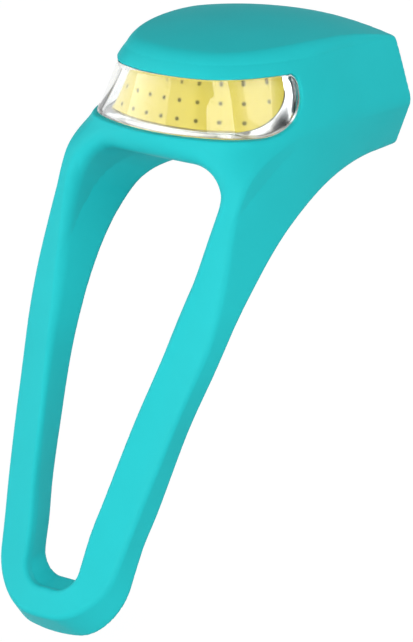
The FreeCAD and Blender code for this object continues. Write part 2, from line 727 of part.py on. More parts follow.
def wire_run(points, radius):
    """Insulated wire: straight runs joined by arcs that are tangent to both."""
    edges = []
    start = points[0]
    for before, corner, after in zip(points, points[1:], points[2:]):
        back = (before - corner).normalize()
        on = (after - corner).normalize()
        half_turn = 0.5 * (math.pi - back.getAngle(on))
        trim = 0.45 * min((before - corner).Length, (after - corner).Length)
        bend = trim / math.tan(half_turn)
        first = corner + back * trim
        last = corner + on * trim
        middle_way = (back + on).normalize()
        middle = corner + middle_way * (bend / math.cos(half_turn) - bend)
        edges.append(Part.LineSegment(start, first).toShape())
        edges.append(Part.Arc(first, middle, last).toShape())
        start = last
    edges.append(Part.LineSegment(start, points[-1]).toShape())
    path = Part.Wire(edges)
    way = (points[1] - points[0]).normalize()
    ring = Part.Wire(Part.Circle(points[0], way, radius).toShape())
    return path.makePipeShell([ring], True, False)


lead_low = size("cell_low") + size("lead_rise")
lead_y = size("cell_rear") + size("guard_gap") + size("guard_thick")
turn_y = lead_y + size("lead_reach")
battery_wires = []
for x in (-size("lead_half_gap"), size("lead_half_gap")):
    points = [Vector(x, lead_y, lead_low), Vector(x, turn_y, lead_low), Vector(x, turn_y, size("board_low"))]
    battery_wires.append(wire_run(points, size("lead_radius")))
from_shape(Part.makeCompound(battery_wires), "battery_leads")

# Main board and what it carries
board = new_body("board_body")
outline_points = [
    (-cell("board_half"), cell("board_rear")),
    (-cell("board_half"), cell("board_shoulder")),
    (-cell("board_nose_half"), cell("board_shoulder") - 0.5),
    (-cell("board_nose_half"), cell("board_front")),
    (cell("board_nose_half"), cell("board_front")),
    (cell("board_nose_half"), cell("board_shoulder") - 0.5),
    (cell("board_half"), cell("board_shoulder")),
    (cell("board_half"), cell("board_rear")),
]
board_sketch = polygon_sketch(board, "board_outline", "XY_Plane", cell("board_low"), outline_points)
pad(board, "board_pad", board_sketch, cell("board_thick"))
holes = [(cell("post_x") * sx, y, cell("screw_radius") + 0.1) for sx in (-1, 1)
         for y in (cell("post_front"), cell("post_rear"))]
hole_sketch = circle_sketch(board, "board_holes", "XY_Plane", cell("board_low"), holes)
pocket(board, "board_pocket", hole_sketch, cell("board_thick") + 1.0, reverse=True)
subpart(board, "main_board")

board_top = cell("board_low") + cell("board_thick")
screws = []
for i, (x, y) in enumerate([(sx, y) for sx in (-1, 1) for y in ("post_front", "post_rear")]):
    head_part = upright("board_screw_head_%d" % i, cell("screw_head_radius"), board_top,
                        board_top + cell("screw_head"), cell("post_x") * x, cell(y))
    shank = upright("board_screw_shank_%d" % i, cell("screw_radius") - 0.03, board_top - cell("screw_length"),
                    board_top + 0.2, cell("post_x") * x, cell(y))
    screws.append(fuse_all("board_screw_%d" % i, [head_part, shank]))
subpart(group_of("board_screw_set", screws), "board_screws")

switch = new_body("switch_body")
half = cell("switch_side") * 0.5
corners = [(-half, cell("button_y") - half), (half, cell("button_y") - half),
           (half, cell("button_y") + half), (-half, cell("button_y") + half)]
switch_sketch = polygon_sketch(switch, "switch_outline", "XY_Plane", board_top, corners)
pad(switch, "switch_pad", switch_sketch, cell("switch_height"))
bore_sketch = circle_sketch(switch, "switch_bore", "XY_Plane", board_top + cell("switch_height"),
                            [(0.0, cell("button_y"), cell("plunger_radius") + 0.05)])
pocket(switch, "switch_well", bore_sketch, cell("switch_height") - 0.5)
subpart(switch, "tact_switch_body")

plunger = upright("plunger_pin", cell("plunger_radius"), cell("plunger_low"), cell("plunger_top"),
                  0.0, cell("button_y"))
subpart(plunger, "tact_switch_plunger")

button_disc = upright("button_disc", cell("button_radius"), cell("button_low"), cell("button_top"),
                      0.0, cell("button_y"))
button_stem = upright("button_stem", cell("stem_radius"), cell("plunger_top"), cell("button_low") + 0.3,
                      0.0, cell("button_y"))
subpart(fuse_all("button_form", [button_disc, button_stem]), "power_button")

# Chips on the board: middle x and y, width, length and height.
CHIPS = [
    (-6.5, -18.0, 4.0, 4.0, 0.9),
    (4.5, -18.5, 3.0, 3.0, 0.8),
    (-9.5, -6.0, 3.0, 1.8, 1.1),
    (6.5, -3.5, 1.6, 0.8, 0.6),
    (6.5, -1.5, 1.6, 0.8, 0.6),
    (-7.0, -1.5, 1.6, 0.8, 0.6),
]
chips = []
for i, (x, y, wide, long, high) in enumerate(CHIPS):
    chips.append(box_between("chip_%d" % i, (x - wide / 2, y - long / 2, board_top),
                             (x + wide / 2, y + long / 2, board_top + high)))
subpart(group_of("chip_set", chips), "driver_chips")

inductor = upright("inductor_drum", cell("inductor_radius"), board_top, board_top + cell("inductor_height"),
                   cell("inductor_x"), cell("inductor_y"))
subpart(inductor, "power_inductor")
led = box_between("status_led_chip", (-6.0, -11.6, board_top), (-4.4, -10.8, board_top + 0.7))
subpart(led, "status_led")

# Charge port: a formed shell round a tongue
port = new_body("port_body")
port_rear = rear - size("skin_wall") - size("capsule_gap")
port_high = board_top + cell("port_height")
port_base = polygon_sketch(port, "port_outline", "XZ_Plane", -port_rear, [
    (-cell("port_half"), board_top), (cell("port_half"), board_top),
    (cell("port_half"), port_high), (-cell("port_half"), port_high)])
pad(port, "port_pad", port_base, cell("port_depth"))
mouth = polygon_sketch(port, "port_mouth", "XZ_Plane", -port_rear, [
    (-cell("port_half") + cell("port_wall"), board_top + cell("port_wall")),
    (cell("port_half") - cell("port_wall"), board_top + cell("port_wall")),
    (cell("port_half") - cell("port_wall"), port_high - cell("port_wall")),
    (-cell("port_half") + cell("port_wall"), port_high - cell("port_wall"))])
pocket(port, "port_hollow", mouth, cell("port_depth") - cell("port_wall"), reverse=True)
subpart(port, "charge_port_shell")

tongue_low = board_top + (cell("port_height") - cell("tongue_thick")) * 0.5
tongue_back = port_rear - size("port_depth") + size("port_wall")
tongue = box_between("tongue_block", (-cell("tongue_half"), tongue_back, tongue_low),
                     (cell("tongue_half"), cell("tongue_depth") + tongue_back,
                      tongue_low + cell("tongue_thick")))
subpart(tongue, "charge_port_tongue")

lead_start = size("board_front") + 1.2
lead_end = HEAD_LEVELS[2][2] + carrier_inset + size("carrier_depth") + 0.8
lead_top = board_top.value + size("strip_lead_rise")
strip_wires = []
for x in (-size("strip_lead_half_gap"), size("strip_lead_half_gap")):
    points = [Vector(x, lead_start, board_top.value), Vector(x, lead_start, lead_top),
              Vector(x, lead_end, lead_top)]
    strip_wires.append(wire_run(points, size("strip_lead_radius")))
from_shape(Part.makeCompound(strip_wires), "strip_leads")

# Rear hook for the strap's end, screwed to the capsule from inside
hook = new_body("hook_body")
arm_top = cell("hook_low") + cell("hook_arm")
hook_front = port_rear + 0.02
hook_rear = cell("hook_reach")
lip_front = hook_rear - cell("hook_lip")
tip_low = cell("hook_top") - cell("hook_tip_chamfer")
hook_profile = polygon_sketch(hook, "hook_profile", "YZ_Plane", 0.0, [
    (hook_front, cell("hook_low")), (hook_rear - cell("hook_chamfer"), cell("hook_low")),
    (hook_rear, cell("hook_low") + cell("hook_chamfer")), (hook_rear, tip_low),
    (hook_rear - cell("hook_tip_chamfer"), cell("hook_top")),
    (lip_front + cell("hook_tip_chamfer"), cell("hook_top")),
    (lip_front, tip_low), (lip_front, arm_top), (hook_front, arm_top)])
pad(hook, "hook_pad", hook_profile, cell("hook_half") * 2.0, both_ways=True)
root_rear = cell("hook_root") + hook_front
root = polygon_sketch(hook, "hook_root_outline", "XY_Plane", cell("hook_low"), [
    (-cell("hook_root_half"), hook_front), (cell("hook_root_half"), hook_front),
    (cell("hook_root_half"), root_rear), (-cell("hook_root_half"), root_rear)])
pad(hook, "hook_root_pad", root, cell("hook_arm"))
screw_bores = circle_sketch(hook, "hook_bores", "XZ_Plane", -hook_front, [
    (cell("hook_screw_x") * side, hook_screw_z, cell("screw_radius")) for side in (-1, 1)])
pocket(hook, "hook_bore_pocket", screw_bores, cell("hook_bore"))
subpart(hook, "rear_hook")

hook_screws = []
inner_wall = rear - capsule_inset - wall
for i, x in enumerate((-size("hook_screw_x"), size("hook_screw_x"))):
    head_part = doc.addObject("Part::Cylinder", "hook_screw_head_%d" % i)
    bind(head_part, Radius=cell("screw_head_radius"), Height=cell("screw_head"))
    head_part.Placement = Placement(Vector(x, inner_wall - size("screw_head"), hook_screw_z),
                                    Rotation(Vector(1, 0, 0), -90))
    shank = doc.addObject("Part::Cylinder", "hook_screw_shank_%d" % i)
    bind(shank, Radius=cell("screw_radius") - 0.03, Height=cell("screw_length") + 1.4)
    shank.Placement = Placement(Vector(x, inner_wall - 0.2, hook_screw_z), Rotation(Vector(1, 0, 0), -90))
    hook_screws.append(fuse_all("hook_screw_%d" % i, [head_part, shank]))
subpart(group_of("hook_screw_set", hook_screws), "hook_screws")

# Charge port plug, hung from its top edge
plug = new_body("plug_body")
plate = polygon_sketch(plug, "plug_plate", "XZ_Plane", -rear, [
    (-cell("plug_half"), cell("plug_low")), (cell("plug_half"), cell("plug_low")),
    (cell("plug_half"), cell("plug_high")), (-cell("plug_half"), cell("plug_high"))])
pad(plug, "plug_plate_pad", plate, cell("plug_thick"))
boss = polygon_sketch(plug, "plug_boss", "XZ_Plane", -rear + size("plug_thick"), [
    (-cell("plug_boss_half"), cell("plug_boss_low")), (cell("plug_boss_half"), cell("plug_boss_low")),
    (cell("plug_boss_half"), cell("plug_boss_high")), (-cell("plug_boss_half"), cell("plug_boss_high"))])
pad(plug, "plug_boss_pad", boss, cell("plug_boss_depth"))
subpart(plug, "port_plug")

doc.recompute()

# Every object must be free of errors, and every sub-part a valid solid
problems = []
for obj in doc.Objects:
    if "Invalid" in obj.State or "Error" in obj.State:
        problems.append("%s is %s" % (obj.Name, obj.State))
for part in parts:
    if part.Shape.isNull() or not part.Shape.isValid() or not part.Shape.Solids:
        problems.append("%s has no valid solid" % part.Label)
if problems:
    raise SystemExit("\n".join(problems))

os.makedirs("parts", exist_ok=True)
for part in parts:
    part.Shape.exportStep("parts/%s.step" % part.Label)
    bounds = part.Shape.BoundBox
    print("%-24s %2d solids %9.2f mm3   x %.2f %.2f  y %.2f %.2f  z %.2f %.2f" % (
        part.Label, len(part.Shape.Solids), part.Shape.Volume, bounds.XMin, bounds.XMax, bounds.YMin,
        bounds.YMax, bounds.ZMin, bounds.ZMax))
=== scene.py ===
import bmesh
import bpy
import numpy as np
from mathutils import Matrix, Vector


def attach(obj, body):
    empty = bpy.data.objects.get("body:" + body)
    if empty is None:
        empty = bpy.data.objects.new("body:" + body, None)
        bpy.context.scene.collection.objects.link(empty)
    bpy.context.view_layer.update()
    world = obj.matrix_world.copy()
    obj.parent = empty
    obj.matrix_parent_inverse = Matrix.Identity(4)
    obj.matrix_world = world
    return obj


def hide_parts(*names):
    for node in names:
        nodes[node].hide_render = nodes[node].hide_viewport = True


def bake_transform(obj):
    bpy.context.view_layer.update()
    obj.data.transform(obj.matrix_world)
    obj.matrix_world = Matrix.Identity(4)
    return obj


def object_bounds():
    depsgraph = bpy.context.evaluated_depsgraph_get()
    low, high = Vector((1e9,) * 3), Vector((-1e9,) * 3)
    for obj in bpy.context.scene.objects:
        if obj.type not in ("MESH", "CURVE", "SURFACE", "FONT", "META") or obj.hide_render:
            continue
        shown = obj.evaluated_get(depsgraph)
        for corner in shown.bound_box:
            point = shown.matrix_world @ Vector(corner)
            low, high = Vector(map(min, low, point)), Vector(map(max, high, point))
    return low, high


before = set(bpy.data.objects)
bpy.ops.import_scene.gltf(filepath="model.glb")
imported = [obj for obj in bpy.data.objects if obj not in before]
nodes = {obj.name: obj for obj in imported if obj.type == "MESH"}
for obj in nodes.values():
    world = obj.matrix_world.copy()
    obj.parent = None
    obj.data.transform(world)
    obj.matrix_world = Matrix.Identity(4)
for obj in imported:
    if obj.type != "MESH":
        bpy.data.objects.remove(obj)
cad_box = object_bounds()
MM = 0.001

# Camera
# A long lens from the front left of the light and a little above it, so that the head, the lens
# and both arms of the strap show.
AZIMUTH, ELEVATION = np.radians(41.65), np.radians(13.2)
PICTURE_WIDTH, PICTURE_HEIGHT, PIXELS_PER_MM = 413, 642, 6.195
EYE_DISTANCE = 900.0
brow_point = np.array((0.0, -33.0, 16.2))
brow_pixel = (157.8, 73.75)
toward_eye = np.array((np.sin(AZIMUTH) * np.cos(ELEVATION), -np.cos(AZIMUTH) * np.cos(ELEVATION),
                       np.sin(ELEVATION)))
rightward = np.array((np.cos(AZIMUTH), np.sin(AZIMUTH), 0.0))
upward = np.cross(toward_eye, rightward)
aim = (brow_point + rightward * (0.5 * PICTURE_WIDTH - brow_pixel[0]) / PIXELS_PER_MM
       - upward * (0.5 * PICTURE_HEIGHT - brow_pixel[1]) / PIXELS_PER_MM)
eye = brow_point + toward_eye * EYE_DISTANCE

camera = bpy.data.objects.new("camera", bpy.data.cameras.new("camera"))
bpy.context.scene.collection.objects.link(camera)
camera.data.sensor_width = 36.0
camera.data.lens = camera.data.sensor_width * EYE_DISTANCE * PIXELS_PER_MM / PICTURE_HEIGHT
camera.data.clip_start, camera.data.clip_end = 0.01, 20.0
camera.location = Vector(eye * MM)
camera.rotation_euler = Vector((aim - eye) * MM).to_track_quat("-Z", "Y").to_euler()
bpy.context.scene.camera = camera
bpy.context.scene.view_settings.view_transform = "Standard"

# Studio
# A pale floor, a broad soft lamp low in front, a weaker one at each side and behind, and an even sky.
# The camera sees floor and sky as near white, with the soft shadow on the floor.
FLOOR_GAP, FLOOR_REACH = 0.0002, 6.0
FLOOR_LEVEL = float(cad_box[0].z) - FLOOR_GAP
LAMP_TARGET = (0.0, -0.03, -0.02)


def grid_faces(rows, columns):
    """Quads of a grid of points numbered row by row."""
    number = np.arange(rows * columns).reshape(rows, columns)
    return np.stack([number[:-1, :-1], number[:-1, 1:], number[1:, 1:], number[1:, :-1]], -1).reshape(-1, 4)


def new_piece(name, points, faces):
    """Smooth-shaded mesh object at the origin from points in metres and faces of point numbers."""
    mesh = bpy.data.meshes.new(name)
    mesh.from_pydata(np.asarray(points, float).reshape(-1, 3).tolist(), [], [list(f) for f in faces])
    mesh.polygons.foreach_set("use_smooth", np.full(len(mesh.polygons), True))
    mesh.update()
    piece = bpy.data.objects.new(name, mesh)
    bpy.context.scene.collection.objects.link(piece)
    return piece


def new_material(name, colour, roughness, metallic=0.0):
    """Material with one Principled shader: returns the material, its node tree and the shader."""
    material = bpy.data.materials.new(name)
    material.use_nodes = True
    shader = material.node_tree.nodes["Principled BSDF"]
    shader.inputs["Base Color"].default_value = (*colour, 1.0)
    shader.inputs["Roughness"].default_value = roughness
    shader.inputs["Metallic"].default_value = metallic
    return material, material.node_tree, shader


def seen_white(tree, surface, output, strength, share):
    """Mixes a share of plain white light into a surface for camera, glossy and transmission rays."""
    path = tree.nodes.new("ShaderNodeLightPath")
    either = tree.nodes.new("ShaderNodeMath")
    either.operation = "MAXIMUM"
    tree.links.new(path.outputs["Is Camera Ray"], either.inputs[0])
    tree.links.new(path.outputs["Is Glossy Ray"], either.inputs[1])
    any_of = tree.nodes.new("ShaderNodeMath")
    any_of.operation = "MAXIMUM"
    tree.links.new(either.outputs[0], any_of.inputs[0])
    tree.links.new(path.outputs["Is Transmission Ray"], any_of.inputs[1])
    part = tree.nodes.new("ShaderNodeMath")
    part.operation = "MULTIPLY"
    part.inputs[1].default_value = share
    tree.links.new(any_of.outputs[0], part.inputs[0])
    glow = tree.nodes.new("ShaderNodeBackground" if surface.type == "BACKGROUND" else "ShaderNodeEmission")
    glow.inputs["Color"].default_value = (1.0, 1.0, 1.0, 1.0)
    glow.inputs["Strength"].default_value = strength
    mix = tree.nodes.new("ShaderNodeMixShader")
    tree.links.new(part.outputs[0], mix.inputs[0])
    tree.links.new(surface.outputs[0], mix.inputs[1])
    tree.links.new(glow.outputs[0], mix.inputs[2])
    tree.links.new(mix.outputs[0], output.inputs["Surface"])


floor_points = np.array([(x, y, 0.0) for y in (-FLOOR_REACH, FLOOR_REACH)
                         for x in (-FLOOR_REACH, FLOOR_REACH)])
floor = new_piece("studio_floor", floor_points + (0.0, 0.0, FLOOR_LEVEL), grid_faces(2, 2))
floor_material, floor_tree, floor_shader = new_material("studio_paper", (0.6, 0.6, 0.6), 0.9)
seen_white(floor_tree, floor_shader, floor_tree.nodes["Material Output"], strength=1.1, share=0.88)
floor.data.materials.append(floor_material)

world = bpy.data.worlds.new("even_sky")
world.use_nodes = True
bpy.context.scene.world = world
sky = world.node_tree.nodes["Background"]
sky.inputs["Color"].default_value = (0.94, 0.97, 1.0, 1.0)
sky.inputs["Strength"].default_value = 0.2
seen_white(world.node_tree, sky, world.node_tree.nodes["World Output"], strength=1.0, share=1.0)

# What gloss sees: share of the whole turn round the light, counted from the rear by the side where x is
# negative, and the brightness there. The steps are chosen so that the reflections seen from
# the photo's angle come close to the photo's. They are no record of the room it was taken in.
ROOM = (
    (0.0, 0.8), (0.03, 0.3), (0.05, 0.6), (0.062, 0.08), (0.075, 0.8), (0.095, 0.7), (0.107, 0.05),
    (0.12, 0.7), (0.135, 0.05), (0.15, 0.6), (0.17, 0.1), (0.24, 0.3), (0.28, 1.9), (0.34, 1.9),
    (0.4, 0.9), (0.47, 0.7), (0.497, 0.02), (0.515, 0.05), (0.56, 0.3), (0.605, 0.4), (0.635, 0.1),
    (0.655, 0.3), (0.69, 1.7), (0.785, 1.7), (0.8, 0.02), (0.84, 0.02), (0.86, 0.9), (0.93, 0.4),
    (0.97, 0.9), (1.0, 0.8))
ROOM_STRENGTH = 4.0


def reflected_room(tree):
    """Puts the room's brightness, by the direction of the ray, in place of the even white for gloss."""
    make, link = tree.nodes.new, tree.links.new
    direction, apart = make("ShaderNodeTexCoord"), make("ShaderNodeSeparateXYZ")
    turn, share, path = make("ShaderNodeMath"), make("ShaderNodeMath"), make("ShaderNodeLightPath")
    turn.operation, share.operation = "ARCTAN2", "MULTIPLY_ADD"
    share.inputs[1].default_value, share.inputs[2].default_value = 0.5 / np.pi, 0.5
    back = make("ShaderNodeMath")
    back.operation = "MULTIPLY"
    back.inputs[1].default_value = -1.0
    link(direction.outputs["Generated"], apart.inputs[0])
    link(apart.outputs["Y"], back.inputs[0])
    link(apart.outputs["X"], turn.inputs[0])
    link(back.outputs[0], turn.inputs[1])
    link(turn.outputs[0], share.inputs[0])
    ramp = make("ShaderNodeValToRGB")
    for at, _ in ROOM[1:-1]:
        ramp.color_ramp.elements.new(at)
    for element, (at, level) in zip(ramp.color_ramp.elements, ROOM):
        element.position = at
        element.color = (*(level / ROOM_STRENGTH,) * 3, 1.0)
    link(share.outputs[0], ramp.inputs["Fac"])
    room = make("ShaderNodeBackground")
    room.inputs["Strength"].default_value = ROOM_STRENGTH
    link(ramp.outputs["Color"], room.inputs["Color"])
    output = tree.nodes["World Output"]
    before = output.inputs["Surface"].links[0].from_socket
    choose = make("ShaderNodeMixShader")
    link(path.outputs["Is Glossy Ray"], choose.inputs[0])
    link(before, choose.inputs[1])
    link(room.outputs[0], choose.inputs[2])
    link(choose.outputs[0], output.inputs["Surface"])


reflected_room(world.node_tree)


def soft_lamp(name, azimuth, elevation, distance, width, power):
    """Square lamp aimed at the light's middle from an azimuth and elevation in degrees."""
    turn, rise = np.radians(azimuth), np.radians(elevation)
    way = Vector((np.sin(turn) * np.cos(rise), -np.cos(turn) * np.cos(rise), np.sin(rise)))
    lamp = bpy.data.objects.new(name, bpy.data.lights.new(name, "AREA"))
    lamp.data.size = width
    lamp.data.energy = power
    lamp.location = Vector(LAMP_TARGET) + way * distance
    lamp.rotation_euler = (-way).to_track_quat("-Z", "Y").to_euler()
    lamp.visible_glossy = False
    bpy.context.scene.collection.objects.link(lamp)


soft_lamp("front_lamp", 20.0, 10.0, distance=0.9, width=0.6, power=6.2)
soft_lamp("right_lamp", 85.0, 18.0, distance=1.0, width=0.6, power=2.8)
soft_lamp("left_lamp", -50.0, 20.0, distance=0.9, width=0.6, power=2.5)
soft_lamp("rear_lamp", 170.0, 22.0, distance=0.9, width=0.6, power=2.8)

# Silicone body
# One matte turquoise moulding: the skin round the head, the cradle that rests on the bar and the
# looped strap. It is modelled once as a smooth solid and parted midway between the strap's bends.
CRADLE_RADIUS, CRADLE_START, CRADLE_ANGLE = 43.3, 0.2, np.radians(68.4)
REAR_END, SKIN_WALL = 6.7, 2.0
# Height, half-width, front, front radius and corner radius of the outside.
SECTIONS = np.array([
    (-78.0, 30.0, -66.75, 52.6, 4.0), (-60.6, 27.5, -59.44, 51.3, 4.0), (-47.5, 26.8, -55.13, 50.4, 4.0),
    (-36.0, 26.6, -50.87, 55.2, 4.0), (-24.0, 25.9, -46.31, 57.6, 4.0), (-16.0, 25.5, -43.27, 62.8, 4.6),
    (-8.0, 25.2, -40.69, 60.6, 5.0), (0.0, 24.2, -38.39, 48.9, 5.7), (6.8, 21.2, -36.33, 30.1, 8.1),
    (18.4, 18.4, -33.3, 23.8, 11.9)]).T
# Run along the underside, half-width there, half-width at the outer ridge and the ridge's depth.
SIDE_FACET = np.array([
    (-8.8, 17.07, 20.3, 6.8), (0.0, 18.42, 20.35, 6.8), (12.0, 19.92, 20.3, 6.2), (25.0, 21.14, 20.3, 6.0),
    (36.0, 21.44, 20.0, 6.2), (47.4, 20.51, 19.4, 6.4), (64.0, 16.87, 17.0, 5.2), (77.3, 14.95, 14.6, 4.5),
    (84.0, 13.75, 13.4, 4.1), (101.0, 12.9, 10.6, 3.6)]).T
# Run along the underside, half-width of the strap's hole and how far its sides lean in to the back.
STRAP_HOLE = np.array([(20.0, 15.9, 0.3), (29.0, 15.4, 0.33), (38.0, 14.4, 0.32), (47.0, 12.95, 0.23),
                       (56.0, 11.2, 0.03), (64.0, 9.7, -0.08), (77.0, 7.55, -0.16), (84.0, 6.2, -0.16),
                       (92.0, 5.5, 0.0)]).T
DOME_TOP, DOME_MIDDLE, DOME_SIDE_RADIUS, DOME_REAR_RADIUS, DOME_FRONT_RADIUS = 22.23, -9.64, 81.5, 60.4, 94.6
HOLE_CEILING, HOLE_CEILING_FRONT, HOLE_SLOPE, HOLE_TOP_CORNER = 4.0, -38.5, 0.27, 7.2
HOLE_END, HOLE_END_CORNER, HOLE_END_DRAFT = 93.3, 3.95, 0.65
STRAP_END, STRAP_END_CORNER, STRAP_END_RADIUS, STRAP_END_DRAFT = 100.3, 7.5, 31.6, 0.375
DOME_EDGE_REAR, DOME_EDGE_FRONT, RIDGE_EDGE, BACK_EDGE, REAR_EDGE = 0.5, 4.0, 0.7, 0.8, 0.35
# Run along the underside and radius of the hole's front edge there; its back edge is sharper.
HOLE_EDGE = np.array([(24.0, 3.4), (30.5, 3.2), (37.0, 2.4), (50.0, 1.7), (66.0, 1.1), (100.0, 0.8)]).T
HOLE_BACK_EDGE, HOLE_EDGE_START, HOLE_EDGE_RAMP = 0.8, 1.5, 2.5
DOME_EDGE_REACH, LEAN_DEPTH, FACET_REACH, SHARP_EDGE = 30.0, 9.0, 1.6, 0.01
INNER_FLOOR_TURN, WINDOW_BACK, OPENING_EDGE = -25.2, 12.0, 0.2
# Openings in the rear wall: half-width, front, and bottom and top.
PLUG_RECESS, PORT_OPENING = (6.6, 4.9, 11.1, 17.8), (5.1, 3.0, 12.0, 16.5)
HOOK_OPENING = (6.1, 3.0, 3.4, 6.6)
WINDOW_LOW, WINDOW_HIGH, WINDOW_END = 7.1, 16.3, np.radians(76.5)
WINDOW_LOW_CORNER, WINDOW_HIGH_CORNER, WINDOW_LIP, WINDOW_CORNER_STRETCH = 6.8, 1.8, 0.35, 1.25
WINDOW_TURN_Y, WINDOW_TURN_RADIUS = -14.0, 19.0


def through(at, stations, values):
    """Smooth curve through given stations: cubics whose slopes never overshoot the stations."""
    gaps = np.diff(stations)
    slopes = np.diff(values) / gaps
    bends = np.zeros_like(values)
    bends[0], bends[-1] = slopes[0], slopes[-1]
    same = slopes[:-1] * slopes[1:] > 0.0
    bends[1:-1][same] = 2.0 * slopes[:-1][same] * slopes[1:][same] / (slopes[:-1][same] + slopes[1:][same])
    at = np.clip(at, stations[0], stations[-1])
    i = np.clip(np.searchsorted(stations, at) - 1, 0, len(gaps) - 1)
    t = (at - stations[i]) / gaps[i]
    return ((2 * t ** 3 - 3 * t ** 2 + 1) * values[i] + (t ** 3 - 2 * t ** 2 + t) * gaps[i] * bends[i]
            + (3 * t ** 2 - 2 * t ** 3) * values[i + 1] + (t ** 3 - t ** 2) * gaps[i] * bends[i + 1])


def rounded(a, b, radius):
    """The larger of two depths, with the edge where they meet rounded to a radius."""
    corner = np.hypot(np.maximum(a + radius, 0.0), np.maximum(b + radius, 0.0))
    return np.minimum(np.maximum(a, b), -radius) + corner


def underside_at(y, z):
    """Run along the underside and depth from it: flat, then an arc, then a straight tangent."""
    turn = np.arctan2(CRADLE_START - y, z + CRADLE_RADIUS)
    depth = np.hypot(y - CRADLE_START, z + CRADLE_RADIUS) - CRADLE_RADIUS
    run = CRADLE_RADIUS * turn
    flat = y > CRADLE_START
    run, depth = np.where(flat, CRADLE_START - y, run), np.where(flat, z, depth)
    end_y = CRADLE_START - CRADLE_RADIUS * np.sin(CRADLE_ANGLE)
    end_z = CRADLE_RADIUS * (np.cos(CRADLE_ANGLE) - 1.0)
    on = -(y - end_y) * np.cos(CRADLE_ANGLE) - (z - end_z) * np.sin(CRADLE_ANGLE)
    off = -(y - end_y) * np.sin(CRADLE_ANGLE) + (z - end_z) * np.cos(CRADLE_ANGLE)
    straight = (turn > CRADLE_ANGLE) | ((z < -CRADLE_RADIUS) & (y < CRADLE_START))
    return np.where(straight, CRADLE_RADIUS * CRADLE_ANGLE + on, run), np.where(straight, off, depth)


def underside_point(run, depth=0.0):
    """Point (0, y, z) at a run and depth on the straight part of the underside."""
    beyond = run - CRADLE_RADIUS * CRADLE_ANGLE
    y = CRADLE_START - CRADLE_RADIUS * np.sin(CRADLE_ANGLE) - beyond * np.cos(CRADLE_ANGLE)
    z = CRADLE_RADIUS * (np.cos(CRADLE_ANGLE) - 1.0) - beyond * np.sin(CRADLE_ANGLE)
    return np.array((0.0, y - depth * np.sin(CRADLE_ANGLE), z + depth * np.cos(CRADLE_ANGLE)))


def outside_wall(x, y, z):
    """Depth outside the head's upright wall: a front cylinder and two sides, round-cornered."""
    half, front, radius, corner = (through(z, SECTIONS[0], SECTIONS[k]) for k in (1, 2, 3, 4))
    bow = np.hypot(x, np.minimum(y - front - radius, 0.0)) - radius
    return rounded(bow, np.abs(x) - half, corner)


def dome_height(x, y):
    """Height of the crowned roof: an arc across, and along it one arc to the rear and one to the front."""
    along = y - DOME_MIDDLE
    fall = np.where(along > 0.0, along ** 2 / (2 * DOME_REAR_RADIUS), along ** 2 / (2 * DOME_FRONT_RADIUS))
    return DOME_TOP - x * x / (2 * DOME_SIDE_RADIUS) - fall


def side_facet(x, run, depth):
    """Depth outside the leaning facet along the side of the underside and the strap."""
    low, ridge, ridge_depth = (through(run, SIDE_FACET[0], SIDE_FACET[k]) for k in (1, 2, 3))
    return np.abs(x) - (low + (ridge - low) * np.minimum(depth / ridge_depth, FACET_REACH)), ridge_depth


def window_at(x, y, z):
    """Depth outside the front window: level edges at top and bottom and round ends at each side."""
    turn = np.arctan2(np.abs(x), WINDOW_TURN_Y - y)
    past = (turn - WINDOW_END) * WINDOW_TURN_RADIUS
    lower = rounded(WINDOW_LOW - z, past / WINDOW_CORNER_STRETCH, WINDOW_LOW_CORNER)
    upper = rounded(z - WINDOW_HIGH, past, WINDOW_HIGH_CORNER)
    return np.maximum(lower, upper)


def box_at(x, y, z, half, y_low, z_low, z_high):
    """Depth outside a box that is open to the rear."""
    return np.maximum(np.maximum(np.abs(x) - half, y_low - y), np.maximum(z_low - z, z - z_high))


def silicone_at(x, y, z):
    """Depth outside the silicone in mm: less than zero inside it."""
    run, depth = underside_at(y, z)
    facet, ridge_depth = side_facet(x, run, depth)
    wall, roof = outside_wall(x, y, z), z - dome_height(x, y)
    strap_end = run - (STRAP_END - STRAP_END_DRAFT * depth - x * x / (2 * STRAP_END_RADIUS))
    toward_front = np.clip(-y / DOME_EDGE_REACH, 0.0, 1.0)
    outside = rounded(wall, roof, DOME_EDGE_REAR + (DOME_EDGE_FRONT - DOME_EDGE_REAR) * toward_front)
    outside = rounded(outside, rounded(strap_end, facet, STRAP_END_CORNER), RIDGE_EDGE)
    outside = rounded(outside, -depth, BACK_EDGE)
    outside = rounded(outside, y - REAR_END, REAR_EDGE)
    behind = np.clip(ridge_depth - depth, 0.0, LEAN_DEPTH)
    half, lean = (through(run, STRAP_HOLE[0], STRAP_HOLE[k]) for k in (1, 2))
    beside = np.abs(x) - half + lean * behind
    hole = rounded(z - HOLE_CEILING + HOLE_SLOPE * (y - HOLE_CEILING_FRONT), beside, HOLE_TOP_CORNER)
    far_end = rounded(run - HOLE_END + HOLE_END_DRAFT * behind, beside, HOLE_END_CORNER)
    hole = rounded(hole, far_end, SHARP_EDGE)
    forward = np.clip((depth - HOLE_EDGE_START) / HOLE_EDGE_RAMP, 0.0, 1.0)
    edge = HOLE_BACK_EDGE + (through(run, HOLE_EDGE[0], HOLE_EDGE[1]) - HOLE_BACK_EDGE) * forward
    solid = rounded(outside, -hole, edge)
    floor_level = SKIN_WALL + HOLE_SLOPE * np.maximum(INNER_FLOOR_TURN - y, 0.0)
    room = np.maximum(np.maximum(wall, roof) + SKIN_WALL, y - REAR_END + SKIN_WALL)
    room = np.maximum(room, np.maximum(facet + SKIN_WALL, floor_level - z))
    solid = np.maximum(solid, -room)
    solid = rounded(solid, -np.maximum(window_at(x, y, z), y + WINDOW_BACK), WINDOW_LIP)
    for opening in PLUG_RECESS, PORT_OPENING, HOOK_OPENING:
        solid = rounded(solid, -box_at(x, y, z, *opening), OPENING_EDGE)
    return solid


